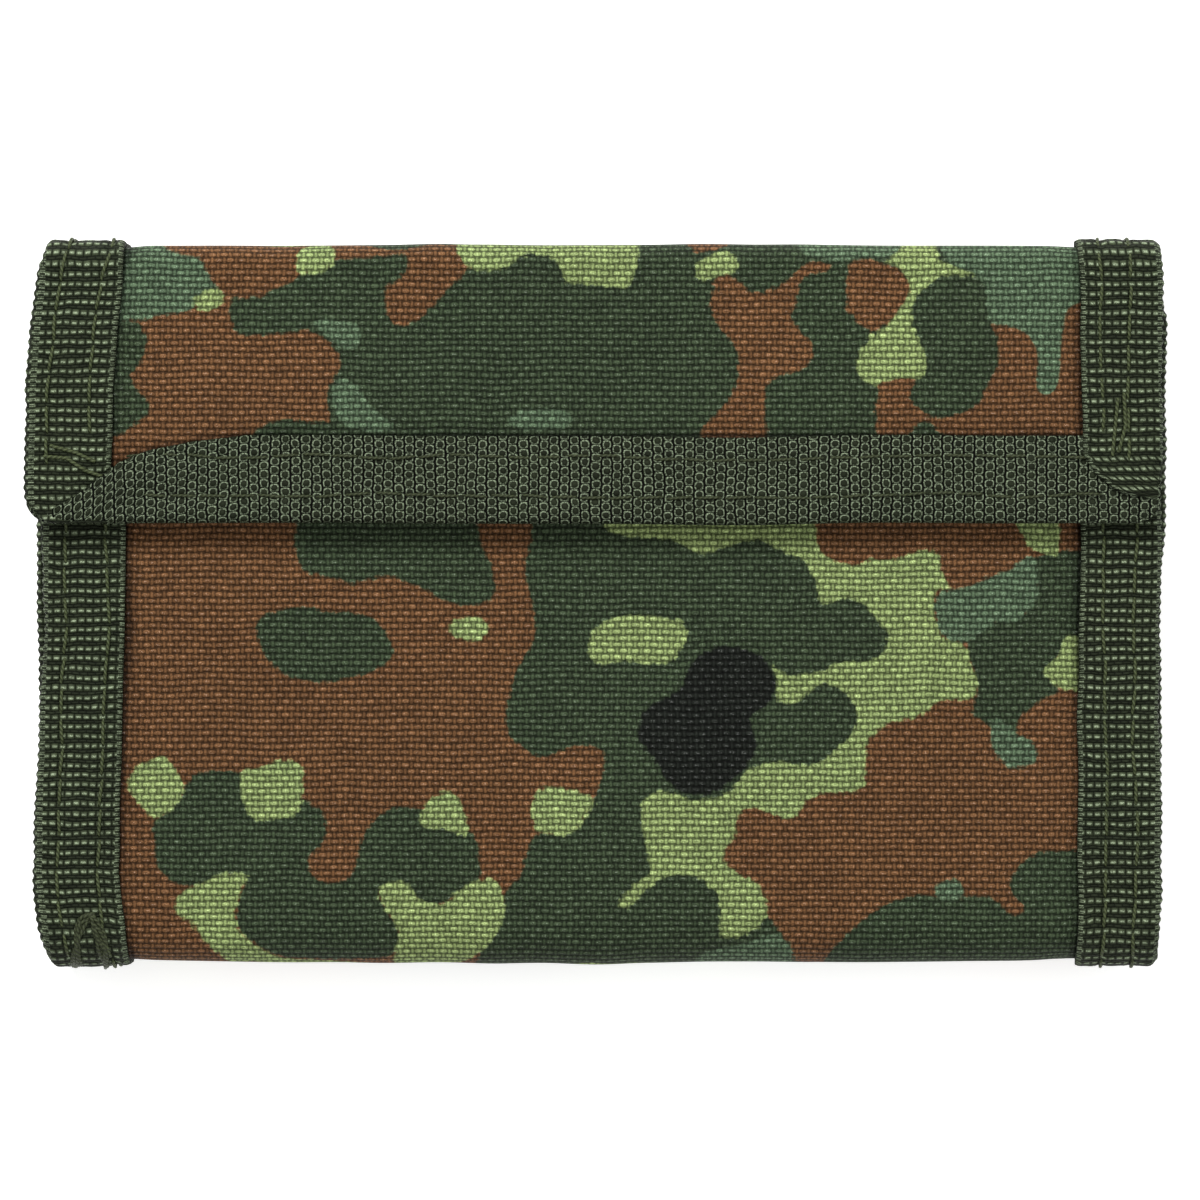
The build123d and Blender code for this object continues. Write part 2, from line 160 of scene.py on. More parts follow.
# how far the binding's outer edges wander from straight, left and right, along the strip (mm)
_yf = np.array([-41, -40, -37, -33.7, -30.3, -26.9, -20, -13, -6.5, 0, 3.7, 7, 12, 36.8])
_lf = np.array([2.9, 2.4, 1.6, 1.2, 0.9, 1.1, 1.4, 1.8, 2.2, 2.3, 2.2, 2.1, 2.0, 1.8])
_rf = np.array([1.2, 1.1, 0.9, 0.7, 0.8, 0.8, 0.8, 1.1, 1.0, 0.9, 0.8, 0.7, 0.9, 1.2])
_yp = np.array([8.9, 12, 14, 17, 24, 31, 34.3, 37.7, 40.5, 41])
_lp = np.array([0.7, 0.5, 0.5, 0.45, 0.4, 0.9, 1.4, 1.8, 2.7, 3.1])
_rp = np.array([1.3, 1.2, 1.1, 1.0, 0.9, 0.9, 0.9, 0.9, 1.1, 1.3])


def edge_x(s, side):
    """Distance of the binding's outer edge from the middle, along the strip."""
    s = np.asarray(s, float)
    y, _ = at(s, 0.0)
    f = np.interp(y, _yf, _lf if side < 0 else _rf)
    p = np.interp(y, _yp, _lp if side < 0 else _rp)
    b = (0.3 if side > 0 else 1.1) + (0.15 if side > 0 else 0.25) * np.sin(s / 11.0 + side) + (f - 0.9) * smooth((-y - 30) / 10) + (p - 0.9) * smooth((y - 30) / 10)
    if side > 0:
        b = b - 0.85 * smooth((y - 3) / 6) * smooth((37 - y) / 5) * ((s > S_BACK_MID) & (s < S_BACK_TOP))
    w_front = smooth((S_BOTTOM + 3 - s) / 6)
    w_flap = smooth((s - S_TOP + 3) / 6)
    inset = f * w_front + p * w_flap + b * (1 - w_front) * (1 - w_flap)
    return 65.0 - inset + 0.12 * noise(s / 5.0, s * 0 + side * 3, 11)


def leg_of(side):
    """Width of the binding's outer leg on each side."""
    return LEG - (0.4 if side > 0 else -0.1)


def edge_leg(from_left):
    """Width of the flap's edge binding, which is folded to a point at its left end."""
    return np.interp(from_left, [0.0, 1.2, 2.6, 4.2, 5.9, 8.4, 10.8, 14.0, 19.0, 25.0], [0.4, 0.9, 1.4, 2.2, 3.2, 5.0, 6.9, 8.2, 9.2, LEG + 0.2])


def depth(s):
    """Depth of the binding's inner face below the cloth's outer face: thick over the pockets, thin at the folds."""
    s = np.asarray(s, float)
    y, _ = at(s, 0.0)
    thin = 2.1
    front = thin + (4.6 - thin) * smooth((y + 37.5) / 7.0)
    back = thin + (5.6 - thin) * smooth((y + 37.5) / 7.0) * smooth((38.5 - y) / 9.0)
    out = np.full_like(s, thin)
    out = np.where(s < S_FRONT_LOW, front, out)
    out = np.where((s > S_BACK_LOW) & (s < S_BACK_TOP), back, out)
    flap = 1.65 + 0.4 * smooth((S_FLAP_TOP + 4 - s) / 4)
    out = np.where(s > S_FLAP_TOP, flap, out)
    return out


# ------------------------------------------------------------------ shader helpers
class Sock:
    def __init__(self, g, s):
        self.g, self.s = g, s

    def _m(self, op, b=None, c=None):
        return self.g.math(op, self, b, c)

    def __add__(self, o):
        return self._m("ADD", o)

    __radd__ = __add__

    def __sub__(self, o):
        return self._m("SUBTRACT", o)

    def __rsub__(self, o):
        return self.g.math("SUBTRACT", o, self)

    def __mul__(self, o):
        return self._m("MULTIPLY", o)

    __rmul__ = __mul__

    def __truediv__(self, o):
        return self._m("DIVIDE", o)


class Graph:
    def __init__(self, name):
        self.m = bpy.data.materials.new(name)
        self.m.use_nodes = True
        self.nt = self.m.node_tree
        self.bsdf = next(n for n in self.nt.nodes if n.type == "BSDF_PRINCIPLED")

    def node(self, kind):
        return self.nt.nodes.new(kind)

    def link(self, a, b):
        self.nt.links.new(a.s if isinstance(a, Sock) else a, b)

    def put(self, value, socket):
        if isinstance(value, Sock):
            self.link(value, socket)
        else:
            socket.default_value = value

    def math(self, op, a, b=None, c=None):
        n = self.node("ShaderNodeMath")
        n.operation = op
        for i, v in enumerate((a, b, c)):
            if v is not None:
                self.put(v, n.inputs[i])
        return Sock(self, n.outputs[0])

    def clamp01(self, a):
        return self.math("MAXIMUM", self.math("MINIMUM", a, 1.0), 0.0)

    def step(self, a, lo, hi):
        n = self.node("ShaderNodeMapRange")
        n.interpolation_type = "SMOOTHSTEP"
        self.put(a, n.inputs[0])
        n.inputs[1].default_value, n.inputs[2].default_value = lo, hi
        n.inputs[3].default_value, n.inputs[4].default_value = 0.0, 1.0
        return Sock(self, n.outputs[0])

    def attr(self, name):
        n = self.node("ShaderNodeAttribute")
        n.attribute_name = name
        return Sock(self, n.outputs["Fac"])

    def uv(self):
        n = self.node("ShaderNodeUVMap")
        n.uv_map = "UVMap"
        sep = self.node("ShaderNodeSeparateXYZ")
        self.link(n.outputs[0], sep.inputs[0])
        self.uv_out = n.outputs[0]
        return Sock(self, sep.outputs[0]), Sock(self, sep.outputs[1])

    def noise(self, scale, detail=2.0, rough=0.5, vec=None, stretch=None):
        n = self.node("ShaderNodeTexNoise")
        n.inputs["Scale"].default_value = scale
        n.inputs["Detail"].default_value = detail
        n.inputs["Roughness"].default_value = rough
        v = vec if vec is not None else self.uv_out
        if stretch:
            mp = self.node("ShaderNodeMapping")
            mp.inputs["Scale"].default_value = (stretch[0], stretch[1], 1)
            self.link(v, mp.inputs[0])
            v = mp.outputs[0]
        self.link(v, n.inputs["Vector"])
        return Sock(self, n.outputs[0])

    def mix(self, f, a, b):
        n = self.node("ShaderNodeMix")
        n.data_type = "RGBA"
        self.put(f, n.inputs[0])
        for v, i in ((a, 6), (b, 7)):
            if isinstance(v, Sock):
                self.link(v, n.inputs[i])
            else:
                n.inputs[i].default_value = (*v[:3], 1)
        return Sock(self, n.outputs[2])

    def tint(self, colour, factor):
        """colour times a grey factor"""
        n = self.node("ShaderNodeVectorMath")
        n.operation = "SCALE"
        if isinstance(colour, Sock):
            self.link(colour, n.inputs[0])
        else:
            n.inputs[0].default_value = colour[:3]
        self.put(factor, n.inputs["Scale"])
        return Sock(self, n.outputs[0])

    def bump(self, height, strength=1.0, distance=0.0002, before=None):
        n = self.node("ShaderNodeBump")
        n.inputs["Strength"].default_value = strength
        n.inputs["Distance"].default_value = distance
        self.link(height, n.inputs["Height"])
        if before is not None:
            self.link(before, n.inputs["Normal"])
        return Sock(self, n.outputs[0])

    def finish(self, colour, rough, normal=None, spec=0.3, sheen=0.0, metal=0.0):
        b = self.bsdf
        if isinstance(colour, Sock):
            self.link(colour, b.inputs["Base Color"])
        else:
            b.inputs["Base Color"].default_value = (*colour[:3], 1)
        self.put(rough, b.inputs["Roughness"])
        b.inputs["Specular IOR Level"].default_value = spec
        b.inputs["Sheen Weight"].default_value = sheen
        b.inputs["Sheen Roughness"].default_value = 0.5
        b.inputs["Metallic"].default_value = metal
        if normal is not None:
            self.link(normal, b.inputs["Normal"])
        return self.m


def lin(r, g, b, k=1.0):
    return tuple(k * (((c / 255 + 0.055) / 1.055) ** 2.4 if c > 10 else c / 255 / 12.92) for c in (r, g, b))


def plain_weave(g, u, v, pu, pv, warp_low=1.0, float_long=1.0):
    """Height 0..1 of a plain weave of round yarns with pitch pu across and pv along, and the share of weft on top."""
    a, b = u / pu, v / pv
    pa, pb = a * math.pi, b * math.pi
    ra, rb = g.math("ABSOLUTE", g.math("SINE", pa)), g.math("ABSOLUTE", g.math("SINE", pb))
    ia, ib = g.math("FLOOR", a), g.math("FLOOR", b)
    over_weft = g.math("COSINE", (a + ib - 0.5) * math.pi)
    over_weft = g.math("POWER", over_weft * 0.5 + 0.5, 1.0 / float_long)
    over_warp = g.math("COSINE", (b + ia - 0.5 + 1.0) * math.pi) * 0.5 + 0.5
    weft = rb * (over_weft * 0.75 + 0.25)
    warp = ra * (over_warp * 0.75 + 0.25) * warp_low
    return g.math("MAXIMUM", weft, warp), g.step(weft - warp, -0.1, 0.1), ia, ib


def cell_random(g, ia, ib, seed=0.0):
    n = g.node("ShaderNodeTexWhiteNoise")
    n.noise_dimensions = "2D"
    c = g.node("ShaderNodeCombineXYZ")
    g.link(ia + seed, c.inputs[0])
    g.link(ib, c.inputs[1])
    g.link(c.outputs[0], n.inputs["Vector"])
    return Sock(g, n.outputs["Value"])


def grey(g, value):
    n = g.node("ShaderNodeCombineXYZ")
    for i in range(3):
        g.put(value, n.inputs[i])
    return Sock(g, n.outputs[0])


def add_colour(g, a, b):
    n = g.node("ShaderNodeVectorMath")
    n.operation = "ADD"
    g.link(a, n.inputs[0])
    g.link(b, n.inputs[1])
    return Sock(g, n.outputs[0])


def cloth_material():
    g = Graph("printed_cloth")
    u, v = g.uv()
    wob = g.noise(0.12, 2.0)
    u2, v2 = u + (wob - 0.5) * 0.9, v + (g.noise(0.15, 2.0, vec=g.uv_out) - 0.5) * 0.6
    h, weft, ia, ib = plain_weave(g, u2, v2, 0.685, 0.72, 0.70, 1.1)
    brown, light = lin(92, 64, 40), lin(117, 132, 83)
    blue, dark, black = lin(73, 90, 68), lin(49, 60, 42), lin(24, 27, 23)
    n_edge = (g.noise(1.6, 1.0) - 0.5) * 0.8
    rnd = cell_random(g, ia, ib)
    n_edge = n_edge + (rnd - 0.5) * 0.25
    col = brown
    for name, c in (("print_dark", dark), ("print_light", light), ("print_blue", blue), ("print_light_top", light), ("print_brown", brown), ("print_black", black)):
        col = g.mix(g.step(g.attr(name) + n_edge, -0.2, 0.2), col, c)
    speck = g.noise(1.7, 3.0, 0.7)
    fine = g.noise(6.0, 2.0, 0.6)
    big = g.noise(0.03, 2.0)
    # painted shade: the weave is darker in the gaps between yarns and lighter on the yarn tops
    painted_yarn_light = g.step(h, 0.30, 0.72)
    k = (painted_yarn_light * 1.00 + 0.33) * (0.98 + weft * 0.08) * (speck * 1.2 + 0.4) * (fine * 2.2 - 0.08) * (big * 0.3 + 0.85) * (rnd * 0.4 + 0.8)
    # painted shade beside the bindings, read from the point attribute
    k = k * (1.0 - g.attr("painted_edge_shade") * 0.75)
    # painted highlight: small bright flecks on the yarn tops, added to the colour and brightening it
    painted_fleck_glint = g.step(h, 0.66, 0.92) * g.step(fine, 0.50, 0.64) * (1.0 - weft * 0.3)
    col = add_colour(g, g.tint(col, k), grey(g, painted_fleck_glint * 0.095))
    col = g.tint(col, painted_fleck_glint * 0.45 + 0.97)
    filaments = g.noise(3.0, 1.0, 0.5, stretch=(1.0, 6.0))
    normal = g.bump(h + fine * 0.25 + filaments * 0.15, 1.0, 0.00025)
    return g.finish(col, 0.6, normal, spec=0.06)


def tape_material(name, base, dark_k=1.0, outlined=False):
    """Ribbed binding: rows of short raised floats in a brick layout. U runs across the tape, V along it. Its brightness
    follows the float height: painted shade between the floats and painted highlights on them.
    """
    g = Graph(name)
    u, v = g.uv()
    w = g.noise(0.2, 2.0)
    pitch = 1.17 if outlined else 0.55
    v2 = v + (w - 0.5) * 0.6 + (g.noise(0.45, 1.0) - 0.5) * (0.25 if outlined else 0.40) + pitch / 2
    row = v2 / pitch
    i = g.math("FLOOR", row)
    par = g.math("PINGPONG", i, 1.0)
    a = (u + (g.noise(0.5, 1.0) - 0.5) * 0.3) / (1.0 if outlined else 0.90) + par * 0.5
    fr = g.math("ABSOLUTE", g.math("SINE", row * math.pi))
    fa = g.math("ABSOLUTE", g.math("SINE", a * math.pi))
    fine = g.noise(6.0, 3.0, 0.7)
    speck = g.noise(1.8, 2.0, 0.6)
    big = g.noise(0.05, 2.0)
    rnd = cell_random(g, g.math("FLOOR", a), i, 3.0)
    if outlined:
        h = g.math("POWER", fr, 0.7) * (g.math("POWER", fa, 0.55) * 0.85 + 0.15) * (1.0 - par * 0.04)
        # painted light: a bright rim round each float with a darker centre and dark gaps, and painted glints along the
        # rim
        painted_rim_light = g.step(h, 0.28, 0.48) * (1.0 - g.step(h, 0.54, 0.76))
        k = 0.05 + painted_rim_light * 0.78 + g.step(h, 0.6, 0.95) * 0.30
        painted_glint = painted_rim_light * g.step(fine, 0.42, 0.58) * 0.27
    else:
        r = g.math("FRACT", v2 / (2 * pitch))
        bead = g.math("SINE", g.math("MINIMUM", r / 0.68, 1.0) * math.pi)
        low = g.math("SINE", g.math("MAXIMUM", (r - 0.68) / 0.32, 0.0) * math.pi)
        fa = g.math("ABSOLUTE", g.math("SINE", (a - par * 0.5 + g.step(r, 0.67, 0.69) * 0.5) * math.pi))
        h = (g.math("POWER", g.math("MAXIMUM", bead, 0.0), 0.42) + g.math("MAXIMUM", low, 0.0) * 0.30) * (g.math("POWER", fa, 0.5) * 0.9 + 0.1)
        # painted shade between the bead rows (brightness follows bead height) and painted glints on the bead tops
        k = 0.05 + h * 1.02
        painted_glint = g.step(bead, 0.80, 1.0) * g.step(fa, 0.35, 0.85) * g.step(fine, 0.36, 0.56) * (rnd * 0.5 + 0.72) * 0.26
        # small loops along the selvedges, with painted highlights on their rims and painted shade inside them
        edge = g.step(0.62 - u, 0.0, 0.08) + g.step(u, 8.72, 8.80) * g.step(9.5 - u, 0.0, 0.08)
        loop = g.math("POWER", g.math("ABSOLUTE", g.math("SINE", v2 / 0.58 * math.pi)), 0.6)
        ring = g.step(loop, 0.25, 0.5) * (1.0 - g.step(loop, 0.75, 0.95))
        k = k * (1.0 - edge) + edge * (0.08 + ring * 0.9 + loop * 0.25)
        painted_glint = painted_glint * (1.0 - edge) + edge * ring * g.step(fine, 0.40, 0.56) * 0.16
    k = k * (fine * 1.1 + 0.45) * (speck * 0.6 + 0.7) * (big * 0.4 + 0.8) * (rnd * 0.5 + 0.75) * dark_k
    # the painted glints add a pale green highlight colour
    col = add_colour(g, g.tint(g.mix(0.0, base, base), k), g.tint(g.mix(0.0, (0.80, 0.97, 0.66), (0.80, 0.97, 0.66)), painted_glint))
    normal = g.bump(h + fine * 0.2, 1.0, 0.00040)
    return g.finish(col, 0.6, normal, spec=0.06)


def lining_material(name, base, pu=0.46, pv=0.44, dist=0.00012, spec=0.1):
    g = Graph(name)
    u, v = g.uv()
    h, weft, _, _ = plain_weave(g, u, v, pu, pv)
    fine = g.noise(3.0, 3.0, 0.6)
    big = g.noise(0.06, 3.0)
    rnd = cell_random(g, g.math("FLOOR", u / pu), g.math("FLOOR", v / pv), 7.0)
    # painted shade: darker in the gaps between yarns, lighter on their tops
    col = g.tint(base, (h * 0.9 + 0.3) * (fine * 1.2 + 0.4) * (big * 0.7 + 0.65) * (1.1 - weft * 0.25) * (rnd * 0.4 + 0.8))
    normal = g.bump(h, 0.9, dist, before=g.bump(big, 0.6, 0.0012))
    return g.finish(col, 0.6, normal, spec=spec)


def thread_material(name, base):
    g = Graph(name)
    u, v = g.uv()
    twist = g.math("SINE", (u * 1.0 + v * 2.2) * 5.0) * 0.5 + 0.5
    fine = g.noise(4.0, 2.0, 0.6)
    # painted shade: darker in the grooves of the twist, lighter on its ridges
    col = g.tint(base, (twist * 0.7 + 0.5) * (fine * 0.6 + 0.7))
    return g.finish(col, 0.5, g.bump(twist, 0.8, 0.0001), spec=0.12)


def object_coord(g):
    n = g.node("ShaderNodeTexCoord")
    return n.outputs["Object"]


def pile_material(name, base):
    g = Graph(name)
    u, v = g.uv()
    a, b = g.noise(2.2, 5.0, 0.75), g.noise(7.0, 3.0, 0.7)
    col = g.tint(base, (a * 1.5 + 0.2) * (b * 0.9 + 0.55))
    return g.finish(col, 0.85, g.bump(a + b * 0.6, 1.0, 0.0006), spec=0.05, sheen=0.03)


def metal_material(name, base, rough, metal, wear):
    g = Graph(name)
    oc = object_coord(g)
    n1 = g.noise(900.0, 4.0, 0.65, vec=oc)
    n2 = g.noise(6000.0, 2.0, 0.6, vec=oc)
    scr = g.noise(2500.0, 3.0, 0.6, vec=oc, stretch=(0.05, 1.0))
    worn = g.step(n1 * 0.7 + scr * 0.3, 0.60, 0.74)
    col = g.mix(worn * wear, base, (0.36, 0.35, 0.33))
    col = g.tint(col, n2 * 0.5 + 0.75)
    m = g.finish(col, 0.0, g.bump(n2 * 0.3 + scr * 0.4, 0.5, 0.00004), spec=0.5)
    g.link(scr * 0.25 + rough, g.bsdf.inputs["Roughness"])
    g.link(worn * wear * (1 - metal) + metal, g.bsdf.inputs["Metallic"])
    return m


def film_material():
    g = Graph("clear_film")
    oc = object_coord(g)
    n1 = g.noise(60.0, 3.0, 0.5, vec=oc)
    n2 = g.noise(1800.0, 3.0, 0.6, vec=oc, stretch=(0.04, 1.0))
    m = g.finish(g.tint((0.50, 0.54, 0.54), n1 * 0.3 + 0.85), 0.1, g.bump(n1, 0.7, 0.0009), spec=0.5)
    g.link(n2 * 0.22 + 0.05, g.bsdf.inputs["Roughness"])
    g.link(g.step(n2, 0.60, 0.8) * 0.16 + 0.09, g.bsdf.inputs["Alpha"])
    return m


M_CLOTH = cloth_material()
M_TAPE = tape_material("binding_weave", lin(62, 70, 51))
# the flap edge's binding: the same tape, darker, with the outlined look of painted rim light and painted shade
M_EDGE = tape_material("binding_weave_edge", lin(60, 68, 48), 0.84, True)
M_LINING = lining_material("lining_weave", lin(40, 43, 36))
M_POCKET = lining_material("pocket_weave", lin(47, 52, 41), 0.52, 0.48, 0.00014)
M_ZIPTAPE = lining_material("zip_tape_weave", lin(34, 36, 33), 0.6, 0.35, 0.0001)
M_THREAD = thread_material("sewing_thread", lin(66, 74, 48))
# a darker copy of the sewing thread, painted shade, used for the flap edge's sunk stitches and the front's loose thread
# ends
M_THREAD_SHADED = thread_material("sewing_thread_painted_shade", lin(56, 62, 42))
M_THREAD_IN = thread_material("inner_thread", lin(74, 80, 58))
M_COAT = lining_material("cloth_reverse", lin(58, 62, 50), 0.685, 0.73, 0.00008)
M_LOOP = pile_material("loop_pile", lin(46, 52, 40))
M_HOOKBASE = lining_material("hook_ground", lin(38, 42, 34), 0.5, 0.5, 0.00012)
M_HOOK = metal_material("hook_nylon", lin(46, 50, 42), 0.35, 0.0, 0.0)
M_TEETH = metal_material("zip_nylon", lin(30, 31, 30), 0.28, 0.0, 0.0)
M_SLIDER = metal_material("slider_enamel", lin(40, 40, 41), 0.3, 0.15, 0.8)
M_STOP = metal_material("stop_steel", lin(165, 163, 158), 0.3, 0.9, 0.2)
M_FILM = film_material()


# ------------------------------------------------------------------ mesh helpers
def grid_mesh(name, pts, uv, closed_u=False, caps=False, attrs=None, material=None):
    """pts: (rows, cols, 3) in mm; uv: (rows, cols(+1), 2). closed_u joins the last column to the first."""
    rows, cols = pts.shape[:2]
    idx = np.arange(rows * cols).reshape(rows, cols)
    nxt = np.roll(idx, -1, axis=1) if closed_u else idx[:, 1:]
    cur = idx if closed_u else idx[:, :-1]
    quads = np.stack([cur[:-1], nxt[:-1], nxt[1:], cur[1:]], -1).reshape(-1, 4)
    uu = uv
    ucur, unxt = uu[:, : cur.shape[1]], uu[:, 1 : cur.shape[1] + 1]
    loop_uv = np.stack([ucur[:-1], unxt[:-1], unxt[1:], ucur[1:]], 2).reshape(-1, 2)
    faces = [tuple(q) for q in quads.tolist()]
    loop_uv = list(map(tuple, loop_uv.tolist()))
    if caps:
        first, last = idx[0][::-1].tolist(), idx[-1].tolist()
        faces += [tuple(first), tuple(last)]
        loop_uv += [tuple(uu[0, c]) for c in range(cols)][::-1] + [tuple(uu[-1, c]) for c in range(cols)]
    me = bpy.data.meshes.new(name)
    me.from_pydata((pts.reshape(-1, 3) * MM).tolist(), [], faces)
    layer = me.uv_layers.new(name="UVMap")
    layer.data.foreach_set("uv", np.array(loop_uv, np.float32).ravel())
    for k, val in (attrs or {}).items():
        a = me.attributes.new(k, "FLOAT", "POINT")
        a.data.foreach_set("value", np.asarray(val, np.float32).ravel())
    me.polygons.foreach_set("use_smooth", [True] * len(me.polygons))
    me.update()
    o = bpy.data.objects.new(name, me)
    bpy.context.scene.collection.objects.link(o)
    if material:
        me.materials.append(material)
    return o


def outward(o):
    """Makes a closed mesh's faces point outwards."""
    import bmesh

    bm = bmesh.new()
    bm.from_mesh(o.data)
    bmesh.ops.recalc_face_normals(bm, faces=bm.faces)
    bm.to_mesh(o.data)
    bm.free()
    return o


def join_verts(name, parts, material):
    """One mesh from many small closed tubes: parts is a list of (pts rows x cols x 3, uv rows x cols+1 x 2)."""
    verts, faces, uvs, base = [], [], [], 0
    for pts, uv in parts:
        rows, cols = pts.shape[:2]
        idx = np.arange(rows * cols).reshape(rows, cols) + base
        nxt = np.roll(idx, -1, axis=1)
        q = np.stack([idx[:-1], nxt[:-1], nxt[1:], idx[1:]], -1).reshape(-1, 4)
        faces += [tuple(f) for f in q.tolist()]
        uvs.append(np.stack([uv[:-1, :cols], uv[:-1, 1 : cols + 1], uv[1:, 1 : cols + 1], uv[1:, :cols]], 2).reshape(-1, 2))
        faces += [tuple(idx[0][::-1].tolist()), tuple(idx[-1].tolist())]
        uvs.append(uv[0, :cols][::-1])
        uvs.append(uv[-1, :cols])
        verts.append(pts.reshape(-1, 3))
        base += rows * cols
    me = bpy.data.meshes.new(name)
    me.from_pydata((np.concatenate(verts) * MM).tolist(), [], faces)
    layer = me.uv_layers.new(name="UVMap")
    layer.data.foreach_set("uv", np.concatenate(uvs).astype(np.float32).ravel())
    me.polygons.foreach_set("use_smooth", [True] * len(me.polygons))
    me.update()
    o = bpy.data.objects.new(name, me)
    bpy.context.scene.collection.objects.link(o)
    me.materials.append(material)
    return outward(o)


def tube(points, radius, sides=6):
    """A closed tube along points (n x 3, mm)."""
    p = np.asarray(points, float)
    t = np.gradient(p, axis=0)
    t /= np.linalg.norm(t, axis=1)[:, None] + 1e-12
    ref = np.array([0.0, 0.0, 1.0]) if abs(t[:, 2]).mean() < 0.8 else np.array([1.0, 0.0, 0.0])
    a = np.cross(t, ref)
    a /= np.linalg.norm(a, axis=1)[:, None] + 1e-12
    b = np.cross(t, a)
    r = np.broadcast_to(radius, len(p))
    ang = np.linspace(0, 2 * math.pi, sides, endpoint=False)
    ring = p[:, None] + (a[:, None] * np.cos(ang)[None, :, None] + b[:, None] * np.sin(ang)[None, :, None]) * r[:, None, None]
    length = np.r_[0, np.cumsum(np.linalg.norm(np.diff(p, axis=0), axis=1))]
    uv = np.stack(np.broadcast_arrays(np.arange(sides + 1)[None, :] / sides * 2, length[:, None]), -1).astype(float)
    return ring, uv
